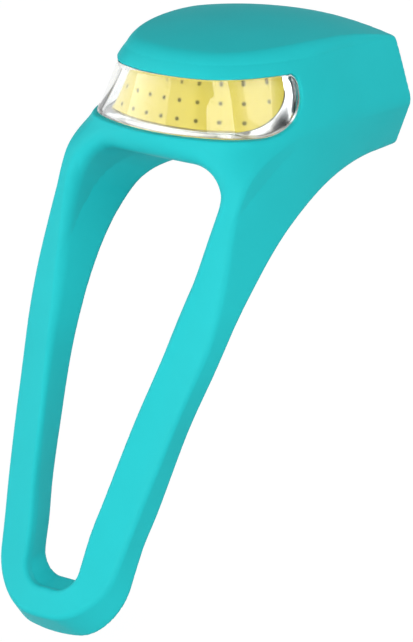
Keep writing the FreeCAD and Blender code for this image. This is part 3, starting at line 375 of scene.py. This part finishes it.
def slope_of(depth_at, points, reach=0.03):
    """Slope of a depth at points, from its change a little way to both sides along each axis."""
    slope = np.empty_like(points)
    for axis in range(3):
        step = np.zeros(3)
        step[axis] = reach
        slope[:, axis] = (depth_at(*(points + step).T) - depth_at(*(points - step).T)) / (2 * reach)
    return slope


def surface_of(depth_at, low, high, cell):
    """Points and quads of the surface where a depth is zero. The space is cut into cells. Each cell
    that the surface crosses has one point, first the mean of where it crosses the cell's edges, then
    moved along the slope onto the surface. Each crossed edge has one quad, of its four cells' points."""
    rounds, least_square, largest_move = 2, 0.2, 0.4 * cell
    lines = [np.arange(a, b + cell, cell) for a, b in zip(low, high)]
    depths = depth_at(lines[0][:, None, None], lines[1][None, :, None], lines[2][None, None, :])
    inside = depths < 0.0
    cells = np.array(depths.shape)
    total = [np.zeros(inside.size) for _ in range(3)]
    count = np.zeros(inside.size)
    quads = []
    for axis in range(3):
        near = np.take(inside, np.arange(cells[axis] - 1), axis)
        far = np.take(inside, np.arange(1, cells[axis]), axis)
        at = np.argwhere(near != far)
        beyond = at.copy()
        beyond[:, axis] += 1
        first, second = depths[tuple(at.T)], depths[tuple(beyond.T)]
        place = at.astype(float)
        place[:, axis] += first / (first - second)
        u, v = (axis + 1) % 3, (axis + 2) % 3
        corners = []
        for du, dv in ((0, 0), (1, 0), (1, 1), (0, 1)):
            cell_at = at.copy()
            cell_at[:, u] -= du
            cell_at[:, v] -= dv
            flat = np.ravel_multi_index(tuple(cell_at.T), inside.shape)
            corners.append(flat)
            count += np.bincount(flat, minlength=inside.size)
            for k in range(3):
                total[k] += np.bincount(flat, place[:, k], minlength=inside.size)
        quad = np.stack(corners, 1)
        leaving = first < 0.0
        quads.append(np.where(leaving[:, None], quad, quad[:, ::-1]))
    used = np.flatnonzero(count)
    number = np.zeros(inside.size, int)
    number[used] = np.arange(len(used))
    points = np.stack([total[k][used] / count[used] for k in range(3)], 1) * cell + np.array(low)
    for _ in range(rounds):
        slope = slope_of(depth_at, points)
        square = np.maximum((slope ** 2).sum(1), least_square)
        for _ in range(rounds):
            shift = np.clip(depth_at(*points.T) / square, -largest_move, largest_move)
            points = points - slope * shift[:, None]
    return points, number[np.vstack(quads)]


def shade_by_slope(piece, depth_at):
    """Sets the piece's normals from the slope of the depth that it was made from."""
    points = np.empty(len(piece.data.vertices) * 3)
    piece.data.vertices.foreach_get("co", points)
    slope = slope_of(depth_at, points.reshape(-1, 3) / MM)
    slope /= np.linalg.norm(slope, axis=1)[:, None]
    piece.data.normals_split_custom_set_from_vertices(slope.tolist())


def parted(name, whole, run_low, run_high):
    """The length of the silicone between two runs down the strap, its cut ends closed."""
    form = bmesh.new()
    form.from_mesh(whole)
    along = (underside_point(60.0) - underside_point(50.0)) / 10.0
    for run, way in ((run_low, 1.0), (run_high, -1.0)):
        if run is None:
            continue
        everything = form.verts[:] + form.edges[:] + form.faces[:]
        cut = bmesh.ops.bisect_plane(
            form, geom=everything, dist=1e-7, plane_co=Vector(underside_point(run) * MM),
            plane_no=Vector(along * way), clear_inner=True)
        rim = [item for item in cut["geom_cut"] if isinstance(item, bmesh.types.BMEdge)]
        bmesh.ops.edgenet_fill(form, edges=rim)
    mesh = bpy.data.meshes.new(name)
    form.to_mesh(mesh)
    form.free()
    mesh.polygons.foreach_set("use_smooth", np.full(len(mesh.polygons), True))
    piece = bpy.data.objects.new(name, mesh)
    bpy.context.scene.collection.objects.link(piece)
    shade_by_slope(piece, silicone_at)
    return piece


def surface_group(name):
    """Empty node group with the inputs that every surface effect here takes and the outputs it gives."""
    group = bpy.data.node_groups.new(name, "ShaderNodeTree")
    colour, number = "NodeSocketColor", "NodeSocketFloat"
    for label, kind, value in (("Colour", colour, (0.5, 0.5, 0.5, 1.0)), ("Shade", number, 0.1),
                               ("Size", number, 1000.0), ("Roughness", number, 0.5)):
        socket = group.interface.new_socket(label, in_out="INPUT", socket_type=kind)
        socket.default_value = value
    for label, kind in (("Colour", colour), ("Roughness", number), ("Height", number)):
        group.interface.new_socket(label, in_out="OUTPUT", socket_type=kind)
    return group


def moulded_group():
    """Fine moulded grain: cloudy light and dark in the colour, a grain in roughness and height."""
    group = surface_group("moulded_grain")
    make, link = group.nodes.new, group.links.new
    given, put = make("NodeGroupInput"), make("NodeGroupOutput")
    place = make("ShaderNodeTexCoord")
    cloud = make("ShaderNodeTexNoise")
    cloud.inputs["Scale"].default_value = 90.0
    cloud.inputs["Detail"].default_value = 3.0
    grain = make("ShaderNodeTexNoise")
    grain.inputs["Detail"].default_value = 2.0
    for texture in cloud, grain:
        link(place.outputs["Object"], texture.inputs["Vector"])
    link(given.outputs["Size"], grain.inputs["Scale"])
    dark = make("ShaderNodeMapRange")
    dark.inputs["From Min"].default_value = 0.25
    dark.inputs["From Max"].default_value = 0.75
    dark.inputs["To Min"].default_value = 0.0
    link(cloud.outputs["Fac"], dark.inputs["Value"])
    link(given.outputs["Shade"], dark.inputs["To Max"])
    blend = make("ShaderNodeMix")
    blend.data_type = "RGBA"
    blend.blend_type = "MULTIPLY"
    blend.inputs["B"].default_value = (0.0, 0.0, 0.0, 1.0)
    link(dark.outputs["Result"], blend.inputs["Factor"])
    link(given.outputs["Colour"], blend.inputs["A"])
    link(blend.outputs["Result"], put.inputs["Colour"])
    rough = make("ShaderNodeMath")
    rough.operation = "MULTIPLY_ADD"
    rough.inputs[1].default_value = 0.12
    link(grain.outputs["Fac"], rough.inputs[0])
    link(given.outputs["Roughness"], rough.inputs[2])
    link(rough.outputs[0], put.inputs["Roughness"])
    link(grain.outputs["Fac"], put.inputs["Height"])
    return group


MOULDED = moulded_group()
BUMP_REACH, GRAIN_ROUGHNESS = 0.0001, 0.06


def finish_material(name, group, colour, shade, size, roughness, bump, metallic=0.0):
    """Material whose colour, roughness and bump come from one surface group, and its shader."""
    material, tree, shader = new_material(name, colour, roughness, metallic)
    effect = tree.nodes.new("ShaderNodeGroup")
    effect.node_tree = group
    effect.inputs["Colour"].default_value = (*colour, 1.0)
    effect.inputs["Shade"].default_value = shade
    effect.inputs["Size"].default_value = size
    effect.inputs["Roughness"].default_value = roughness - GRAIN_ROUGHNESS
    relief = tree.nodes.new("ShaderNodeBump")
    relief.inputs["Strength"].default_value = bump
    relief.inputs["Distance"].default_value = BUMP_REACH
    tree.links.new(effect.outputs["Colour"], shader.inputs["Base Color"])
    tree.links.new(effect.outputs["Roughness"], shader.inputs["Roughness"])
    tree.links.new(effect.outputs["Height"], relief.inputs["Height"])
    tree.links.new(relief.outputs["Normal"], shader.inputs["Normal"])
    return material, shader


turquoise, turquoise_shader = finish_material(
    "turquoise_silicone", MOULDED, (0.022, 0.60, 0.63), shade=0.05, size=5200.0, roughness=0.52, bump=0.12)
turquoise_shader.inputs["Specular IOR Level"].default_value = 0.12

CELL = 0.4
BODY_LOW, BODY_HIGH = (-23.25 - CELL / 2, -72.0, -76.0), (24.0, 9.0, 24.5)
body_points, body_faces = surface_of(silicone_at, BODY_LOW, BODY_HIGH, CELL)
whole_body = new_piece("silicone_whole", body_points * MM, body_faces)
# Name, the bodies before and after the bend, the bend's run, the runs where it is parted, and its nodes.
STRAP_PIECES = (
    ("silicone_head", "head", "strap_1", 54.3, None, 62.05, ("head_skin", "strap_bend_upper")),
    ("silicone_strap_middle", "strap_1", "strap_2", 69.8, 62.05, 77.55, ("strap_upper", "strap_bend_middle")),
    ("silicone_strap_end", "strap_2", "strap_3", 85.3, 77.55, None,
     ("strap_middle", "strap_bend_lower", "strap_end_loop")))
for name, first, second, hinge, run_low, run_high, stands_for in STRAP_PIECES:
    piece = parted(name, whole_body.data, run_low, run_high)
    piece.data.materials.append(turquoise)
    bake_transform(piece)
    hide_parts(*stands_for)
bpy.data.objects.remove(whole_body)

# Lens
# A clear moulding that fills the window: its face lies half a millimetre behind the silicone, and a
# wider step behind the silicone's edge keeps it in.
NEAREST_WALL, FARTHEST_WALL, HALVINGS = 4.0, 40.0, 36


def front_point(turn, height, depth):
    """Point where a ray from the turning line meets the layer at a depth inside the upright wall."""
    near, far = np.full_like(turn, NEAREST_WALL), np.full_like(turn, FARTHEST_WALL)
    for _ in range(HALVINGS):
        middle = 0.5 * (near + far)
        x, y = middle * np.sin(turn), WINDOW_TURN_Y - middle * np.cos(turn)
        beyond = outside_wall(x, y, height) > -depth
        near, far = np.where(beyond, near, middle), np.where(beyond, middle, far)
    return np.stack([x, y, height], -1)


def window_place(u, v, inset, depth, end=0.0, stretch=WINDOW_CORNER_STRETCH):
    """Point of the window's area, inset from its outline: u from -1 to 1 across and v from 0 to 1 up.
    The half-length at a height is the full one less the set-back of the two round corners there."""
    low, high = WINDOW_LOW + inset, WINDOW_HIGH - inset
    height = 0.5 * (low + high) - 0.5 * (high - low) * np.cos(np.pi * v)
    length = WINDOW_END * WINDOW_TURN_RADIUS - inset - end
    for corner, up, long in ((WINDOW_LOW_CORNER, height - low, stretch),
                             (WINDOW_HIGH_CORNER, high - height, 1.0)):
        radius = corner - inset
        ahead = np.sqrt(np.maximum(radius ** 2 - np.maximum(radius - up, 0.0) ** 2, 0.0))
        length = length - long * (radius - ahead)
    return front_point(u * length / WINDOW_TURN_RADIUS, height, depth)


def plate(name, place, layers, columns, rows, faced=True):
    """Solid from layers of one grid, front to back: closed rims join them, and the first and last
    are whole faces. Without faces the layers are the corners of a ring's closed profile."""
    u, v = np.meshgrid(np.linspace(-1.0, 1.0, columns), np.linspace(0.0, 1.0, rows))
    number = np.arange(u.size).reshape(rows, columns)
    edge = np.concatenate([number[0], number[1:, -1], number[-1, -2::-1], number[-2:0:-1, 0]])
    points, loops, start = [], [], 0
    for k, layer in enumerate(layers):
        whole = faced and k in (0, len(layers) - 1)
        spots = place(u, v, *layer).reshape(-1, 3)
        points.append(spots if whole else spots[edge])
        loops.append(start + (edge if whole else np.arange(len(edge))))
        start += len(points[-1])
    pairs = list(zip(loops, loops[1:])) + ([] if faced else [(loops[-1], loops[0])])
    faces = [np.stack([a, b, np.roll(b, -1), np.roll(a, -1)], 1) for a, b in pairs]
    if faced:
        faces += [grid_faces(rows, columns), grid_faces(rows, columns)[:, ::-1] + start - u.size]
    return new_piece(name, np.vstack(points) * MM, np.vstack(faces))


FACE_COLUMNS, FACE_ROWS = ((320, 40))
# Each layer: inset from the window's outline and depth behind the silicone's face.
lens = plate("clear_lens", window_place, (
    (0.75, 0.55), (0.4, 0.58), (0.2, 0.68), (0.12, 0.9), (0.12, 2.17), (-1.0, 2.17), (-1.06, 2.25),
    (-1.06, 3.25), (-1.0, 3.32), (0.2, 3.32)), FACE_COLUMNS, FACE_ROWS)
clear, clear_tree, clear_shader = new_material("clear_polycarbonate", (0.97, 0.985, 0.985), 0.03)
clear_shader.inputs["Transmission Weight"].default_value = 1.0
clear_shader.inputs["IOR"].default_value = 1.49
let_through = clear_tree.nodes.new("ShaderNodeBsdfTransparent")
clear_path = clear_tree.nodes.new("ShaderNodeLightPath")
clear_mix = clear_tree.nodes.new("ShaderNodeMixShader")
clear_tree.links.new(clear_path.outputs["Is Shadow Ray"], clear_mix.inputs[0])
clear_tree.links.new(clear_shader.outputs[0], clear_mix.inputs[1])
clear_tree.links.new(let_through.outputs[0], clear_mix.inputs[2])
clear_tree.links.new(clear_mix.outputs[0], clear_tree.nodes["Material Output"].inputs["Surface"])
lens.data.materials.append(clear)
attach(lens, "head")
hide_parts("lens")

# Chromed bezel
# A bright frame behind the lens, sloped inwards to its opening, which leaves the light strip free. Its
# inner layers also give how far the ends stand in, and most of them how far the low corner is stretched.
bezel = plate("chromed_bezel", window_place, (
    (-0.9, 3.45), (-0.9, 4.44), (0.35, 4.44, 1.7, 1.75), (0.35, 4.32, 1.7, 1.75), (0.27, 4.15, 1.4, 1.7),
    (0.2, 4.12, 1.1, 1.6), (0.12, 3.9, 0.8, 1.5), (0.06, 3.87, 0.5, 1.4), (-0.05, 3.65, 0.3, 1.3),
    (-0.15, 3.62, 0.1), (-0.25, 3.47)),
    FACE_COLUMNS, FACE_ROWS, faced=False)
chrome, _ = finish_material("chromed_plastic", MOULDED, (0.88, 0.88, 0.89), shade=0.04, size=900.0,
                            roughness=0.14, bump=0.02, metallic=1.0)
bezel.data.materials.append(chrome)
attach(bezel, "head")
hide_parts("reflector_bezel")

# Light strip
# Soft yellow phosphor poured over three rows of small dies, which show through it as darker dots.
STRIP_LOW, STRIP_HIGH, STRIP_END = 7.45, 15.5, np.radians(81.0)
STRIP_DEPTH, STRIP_STEPS = 4.5, 400
DOT_ROW_PITCH, DOT_ROW_MIDDLE, DOT_RADIUS = 2.93, 11.8, 0.34
DOT_LENGTHS = (0.0, 3.0, 6.2, 9.8, 13.5, 17.8, 22.1, 26.4)


def strip_place(u, v, inset, depth):
    """Point of the strip's area, inset from its straight edges."""
    height = STRIP_LOW + inset + (STRIP_HIGH - STRIP_LOW - 2.0 * inset) * v
    return front_point(u * (STRIP_END - inset / WINDOW_TURN_RADIUS), height, depth)


def dotted_group():
    """Dots in level rows along the strip: the distance to the nearest dot's middle, from the number of
    dots and the gap between them there and from the height, is a soft mask between two colours."""
    group = surface_group("dotted_phosphor")
    make, link = group.nodes.new, group.links.new

    def sum_up(kind, *values):
        node = make("ShaderNodeMath")
        node.operation = kind
        for k, value in enumerate(values):
            if isinstance(value, float):
                node.inputs[k].default_value = value
            else:
                link(value, node.inputs[k])
        return node.outputs[0]

    given, put = make("NodeGroupInput"), make("NodeGroupOutput")
    place, apart = make("ShaderNodeTexCoord"), make("ShaderNodeSeparateXYZ")
    link(place.outputs["Object"], apart.inputs[0])
    number, gap = make("ShaderNodeAttribute"), make("ShaderNodeAttribute")
    number.attribute_name, gap.attribute_name = "dot_number", "dot_gap"
    across = sum_up("ADD", number.outputs["Fac"], 0.5)
    up = sum_up("MULTIPLY_ADD", apart.outputs["Z"], 1.0 / (DOT_ROW_PITCH * MM),
                0.5 - DOT_ROW_MIDDLE / DOT_ROW_PITCH)
    off = []
    for turns, pitch in ((across, gap.outputs["Fac"]), (up, DOT_ROW_PITCH)):
        away = sum_up("SUBTRACT", sum_up("FRACT", turns), 0.5)
        off.append(sum_up("MULTIPLY", away, pitch))
    distance = sum_up("SQRT", sum_up("ADD", sum_up("POWER", off[0], 2.0), sum_up("POWER", off[1], 2.0)))
    mask = make("ShaderNodeMapRange")
    mask.interpolation_type = "SMOOTHSTEP"
    mask.inputs["From Min"].default_value = DOT_RADIUS * 0.45
    mask.inputs["From Max"].default_value = DOT_RADIUS * 1.5
    mask.inputs["To Min"].default_value = 1.0
    mask.inputs["To Max"].default_value = 0.0
    link(distance, mask.inputs["Value"])
    cloud = make("ShaderNodeTexNoise")
    cloud.inputs["Detail"].default_value = 3.0
    link(place.outputs["Object"], cloud.inputs["Vector"])
    link(given.outputs["Size"], cloud.inputs["Scale"])
    tint = make("ShaderNodeMix")
    tint.data_type = "RGBA"
    tint.inputs["B"].default_value = (0.06, 0.05, 0.01, 1.0)
    link(given.outputs["Colour"], tint.inputs["A"])
    strength = sum_up("MULTIPLY_ADD", sum_up("MULTIPLY", cloud.outputs["Fac"], given.outputs["Shade"]), 1.0,
                      sum_up("MULTIPLY", mask.outputs["Result"], 0.8))
    link(strength, tint.inputs["Factor"])
    link(tint.outputs["Result"], put.inputs["Colour"])
    veil = sum_up("MULTIPLY_ADD", mask.outputs["Result"], 0.5, given.outputs["Roughness"])
    link(sum_up("MULTIPLY_ADD", cloud.outputs["Fac"], 0.12, veil), put.inputs["Roughness"])
    ripple = sum_up("MULTIPLY", cloud.outputs["Fac"], 0.2)
    link(sum_up("SUBTRACT", ripple, mask.outputs["Result"]), put.inputs["Height"])
    return group


strip = plate("phosphor_light_strip", strip_place, (
    (0.25, STRIP_DEPTH), (0.07, 4.56), (0.0, 4.75), (0.0, 5.2)), FACE_COLUMNS, FACE_ROWS)
strip_turns = np.linspace(-STRIP_END, STRIP_END, 2 * STRIP_STEPS + 1)
strip_heights = np.full(len(strip_turns), 0.5 * (STRIP_LOW + STRIP_HIGH))
strip_line = front_point(strip_turns, strip_heights, STRIP_DEPTH)
lengths = np.concatenate([[0.0], np.cumsum(np.linalg.norm(np.diff(strip_line, axis=0), axis=1))])
strip_spots = np.empty(len(strip.data.vertices) * 3)
strip.data.vertices.foreach_get("co", strip_spots)
strip_spots = strip_spots.reshape(-1, 3) / MM
spot_turns = np.arctan2(strip_spots[:, 0], WINDOW_TURN_Y - strip_spots[:, 1])
along_strip = np.interp(spot_turns, strip_turns, lengths - lengths[STRIP_STEPS])
dot_numbers = np.interp(np.abs(along_strip), DOT_LENGTHS, np.arange(len(DOT_LENGTHS)))
nearest = np.clip(np.round(dot_numbers).astype(int), 1, len(DOT_LENGTHS) - 1)
dot_gaps = np.diff(DOT_LENGTHS)[nearest - 1]
for label, values in (("dot_number", np.sign(along_strip) * dot_numbers), ("dot_gap", dot_gaps)):
    strip.data.attributes.new(label, "FLOAT", "POINT").data.foreach_set("value", values)
phosphor, phosphor_shader = finish_material(
    "yellow_phosphor", dotted_group(), (0.58, 0.475, 0.085), shade=0.08, size=700.0, roughness=0.22, bump=0.1)
phosphor_shader.inputs["Specular IOR Level"].default_value = 0.12
strip.data.materials.append(phosphor)
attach(strip, "head")
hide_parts("phosphor_strip")

# Plug, hook and button
# The parts that show at the back and under the roof: the silicone plug in its recess, the nylon hook
# that takes the strap's end, and the button that is pressed through the roof. Each is a smooth solid.
HOOK_SCREW_X, HOOK_SCREW_Z, HOOK_BORE_RADIUS, HOOK_BORE_END = 3.2, 5.0, 0.82, 9.6
BUTTON_BACK = 10.0


def soft_box(x, y, z, low, high, edge):
    """Depth outside a box with every edge rounded."""
    spans = [np.maximum(a - v, v - b) for v, a, b in zip((x, y, z), low, high)]
    return rounded(rounded(spans[0], spans[1], edge), spans[2], edge)


def joined(a, b, blend_radius):
    """Two depths joined into one solid, with a fillet where they meet."""
    return -rounded(-a, -b, blend_radius)


def plug_at(x, y, z):
    """Plate with a raised rim, a boss on its inside and a thumb lip along its lower edge."""
    plate_depth = soft_box(x, y, z, (-6.3, 5.25, 11.4), (6.3, 6.7, 17.5), 0.45)
    panel = soft_box(x, y, z, (-4.9, 6.45, 12.7), (4.9, 8.0, 16.4), 0.3)
    boss = soft_box(x, y, z, (-4.7, 4.62, 13.0), (4.7, 5.6, 16.1), 0.3)
    lip = soft_box(x, y, z, (-2.6, 5.6, 11.45), (2.6, 7.3, 12.5), 0.4)
    return joined(joined(rounded(plate_depth, -panel, 0.25), boss, 0.2), lip, 0.3)


def hook_at(x, y, z):
    """Arm that turns up into a lip, wider at its root, with a shallow dish across the lip's back."""
    arm = soft_box(x, y, z, (-4.8, 4.6, 3.5), (4.8, 15.2, 6.5), 0.7)
    lip = soft_box(x, y, z, (-4.8, 12.4, 3.5), (4.8, 15.2, 10.1), 0.9)
    root = soft_box(x, y, z, (-6.0, 4.6, 3.5), (6.0, 6.15, 6.5), 0.25)
    dish = 9.0 - np.hypot(x, y - 23.7)
    solid = joined(joined(arm, lip, 1.2), root, 0.4)
    bores = np.hypot(np.abs(x) - HOOK_SCREW_X, z - HOOK_SCREW_Z) - HOOK_BORE_RADIUS
    return rounded(rounded(solid, dish, 0.4), -np.maximum(bores, y - HOOK_BORE_END), 0.1)


def button_at(x, y, z):
    """Round cap with a dished top and a stem under it."""
    around = np.hypot(x, y + BUTTON_BACK)
    cap = rounded(around - 4.1, np.maximum(z - 19.8, 18.0 - z), 0.35)
    dish = 26.0 - np.sqrt(around ** 2 + (z - 45.35) ** 2)
    stem = np.maximum(around - 1.5, np.maximum(16.0 - z, z - 18.4))
    return joined(rounded(cap, dish, 0.2), stem, 0.3)


def carved(name, depth_at, low, high, cell, body, stands_for, material):
    """Piece made from the surface of a depth, riding on a body in place of a node."""
    points, faces = surface_of(depth_at, low, high, cell)
    piece = new_piece(name, points * MM, faces)
    shade_by_slope(piece, depth_at)
    piece.data.materials.append(material)
    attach(piece, body)
    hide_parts(stands_for)


nylon, _ = finish_material("black_nylon", MOULDED, (0.022, 0.022, 0.024), shade=0.3, size=2600.0,
                           roughness=0.55, bump=0.5)
grey_plastic, _ = finish_material("grey_plastic", MOULDED, (0.24, 0.25, 0.26), shade=0.15, size=3000.0,
                                  roughness=0.45, bump=0.3)
FINE = 0.16
carved("port_plug_skin", plug_at, (-6.8, 4.1, 10.9), (6.8, 7.8, 18.0), FINE, "plug", "port_plug",
       turquoise)
carved("rear_hook_form", hook_at, (-6.5, 4.1, 3.0), (6.5, 15.8, 10.7), FINE, "head", "rear_hook",
       nylon)
carved("power_button_form", button_at, (-4.7, -14.7, 15.5), (4.7, -5.3, 20.4), FINE, "button", "power_button",
       grey_plastic)

# Inside the head
# What the silicone hides keeps its CAD form: dark moulded capsule and gasket, aluminium and steel with
# a brushed grain, green boards with their tracks, a creased foil cell and soft foam.
def textured_group(name, texture_kind, stretch, dark, sharp, settings=(), **values):
    """Surface group from one texture, stretched by a factor along each axis: it moves the colour to the
    dark one where the texture is low, moves the roughness and gives the height."""
    group = surface_group(name)
    make, link = group.nodes.new, group.links.new
    given, put = make("NodeGroupInput"), make("NodeGroupOutput")
    place = make("ShaderNodeTexCoord")
    scaled = make("ShaderNodeMapping")
    scaled.inputs["Scale"].default_value = stretch
    link(place.outputs["Object"], scaled.inputs["Vector"])
    texture = make(texture_kind)
    for setting, value in settings:
        setattr(texture, setting, value)
    for label, value in values.items():
        texture.inputs[label.replace("_", " ")].default_value = value
    link(scaled.outputs["Vector"], texture.inputs["Vector"])
    link(given.outputs["Size"], texture.inputs["Scale"])
    value = texture.outputs["Distance" if texture_kind == "ShaderNodeTexVoronoi" else "Fac"]
    ramp = make("ShaderNodeMapRange")
    ramp.interpolation_type = "SMOOTHSTEP"
    ramp.inputs["From Min"].default_value = 0.5 - sharp
    ramp.inputs["From Max"].default_value = 0.5 + sharp
    ramp.inputs["To Min"].default_value = 1.0
    ramp.inputs["To Max"].default_value = 0.0
    link(value, ramp.inputs["Value"])
    amount = make("ShaderNodeMath")
    amount.operation = "MULTIPLY"
    link(ramp.outputs["Result"], amount.inputs[0])
    link(given.outputs["Shade"], amount.inputs[1])
    tint = make("ShaderNodeMix")
    tint.data_type = "RGBA"
    tint.inputs["B"].default_value = (*dark, 1.0)
    link(amount.outputs[0], tint.inputs["Factor"])
    link(given.outputs["Colour"], tint.inputs["A"])
    link(tint.outputs["Result"], put.inputs["Colour"])
    rough = make("ShaderNodeMath")
    rough.operation = "MULTIPLY_ADD"
    rough.inputs[1].default_value = 0.15
    link(value, rough.inputs[0])
    link(given.outputs["Roughness"], rough.inputs[2])
    link(rough.outputs[0], put.inputs["Roughness"])
    link(value, put.inputs["Height"])
    return group


BRUSHED = textured_group("brushed_metal", "ShaderNodeTexNoise", (0.04, 1.0, 1.0), (0.3, 0.3, 0.31), 0.3,
                         Detail=4.0)
CREASED = textured_group("creased_foil", "ShaderNodeTexNoise", (1.0, 0.6, 1.0), (0.35, 0.36, 0.38), 0.12,
                         Detail=5.0, Distortion=1.2)
POROUS = textured_group("porous_foam", "ShaderNodeTexVoronoi", (1.0, 1.0, 1.0), (0.0, 0.0, 0.0), 0.35)
TRACKED = textured_group("board_tracks", "ShaderNodeTexBrick", (1.0, 1.0, 1.0), (0.02, 0.16, 0.05), 0.3,
                         (("offset", 0.35),), Mortar_Size=0.012, Brick_Width=0.7, Row_Height=0.22)
SPOTTED = textured_group("spotted_pads", "ShaderNodeTexVoronoi", (1.0, 1.0, 1.0), (0.75, 0.62, 0.3), 0.08)

# Surface group, colour, shade, size, roughness, bump and metal of each finish, and the nodes that wear it.
INSIDE = {
    "black_polycarbonate": (MOULDED, (0.025, 0.025, 0.028), 0.25, 3500.0, 0.5, 0.4, 0.0,
                            ("capsule_base", "capsule_cover")),
    "black_silicone": (MOULDED, (0.02, 0.02, 0.02), 0.2, 4200.0, 0.7, 0.2, 0.0, ("lens_gasket",)),
    "led_die": (SPOTTED, (0.62, 0.58, 0.3), 0.5, 1600.0, 0.25, 0.1, 0.0, ("led_dies", "status_led")),
    "white_laminate": (SPOTTED, (0.86, 0.86, 0.84), 0.8, 420.0, 0.3, 0.05, 0.0, ("cob_flex_board",)),
    "aluminium_sheet": (BRUSHED, (0.72, 0.73, 0.74), 0.4, 2500.0, 0.32, 0.1, 1.0, ("cob_carrier",)),
    "grey_heat_pad": (POROUS, (0.36, 0.38, 0.4), 0.3, 1500.0, 0.8, 0.2, 0.0, ("heat_pad",)),
    "cell_foil": (CREASED, (0.62, 0.64, 0.66), 0.35, 260.0, 0.28, 0.5, 0.9, ("li_po_cell",)),
    "black_foam": (POROUS, (0.03, 0.03, 0.032), 0.8, 2200.0, 0.9, 0.9, 0.0, ("cell_foam",)),
    "green_laminate": (TRACKED, (0.012, 0.095, 0.035), 0.9, 330.0, 0.3, 0.15, 0.0,
                       ("cell_protection_board", "main_board")),
    "red_wire": (MOULDED, (0.5, 0.02, 0.02), 0.1, 5000.0, 0.35, 0.05, 0.0, ("battery_leads", "strip_leads")),
    "steel": (BRUSHED, (0.6, 0.6, 0.61), 0.4, 4000.0, 0.25, 0.1, 1.0,
              ("board_screws", "hook_screws", "charge_port_shell")),
    "black_plastic": (MOULDED, (0.018, 0.018, 0.02), 0.2, 5000.0, 0.4, 0.2, 0.0,
                      ("tact_switch_body", "tact_switch_plunger", "driver_chips", "power_inductor",
                       "charge_port_tongue"))}
for name, (group, colour, shade, grain, roughness, bump, metal, dressed) in INSIDE.items():
    material, _ = finish_material(name, group, colour, shade, grain, roughness, bump, metallic=metal)
    for node in dressed:
        slots = nodes[node].material_slots
        for material_slot in slots:
            material_slot.material = material
        if not slots:
            nodes[node].data.materials.append(material)
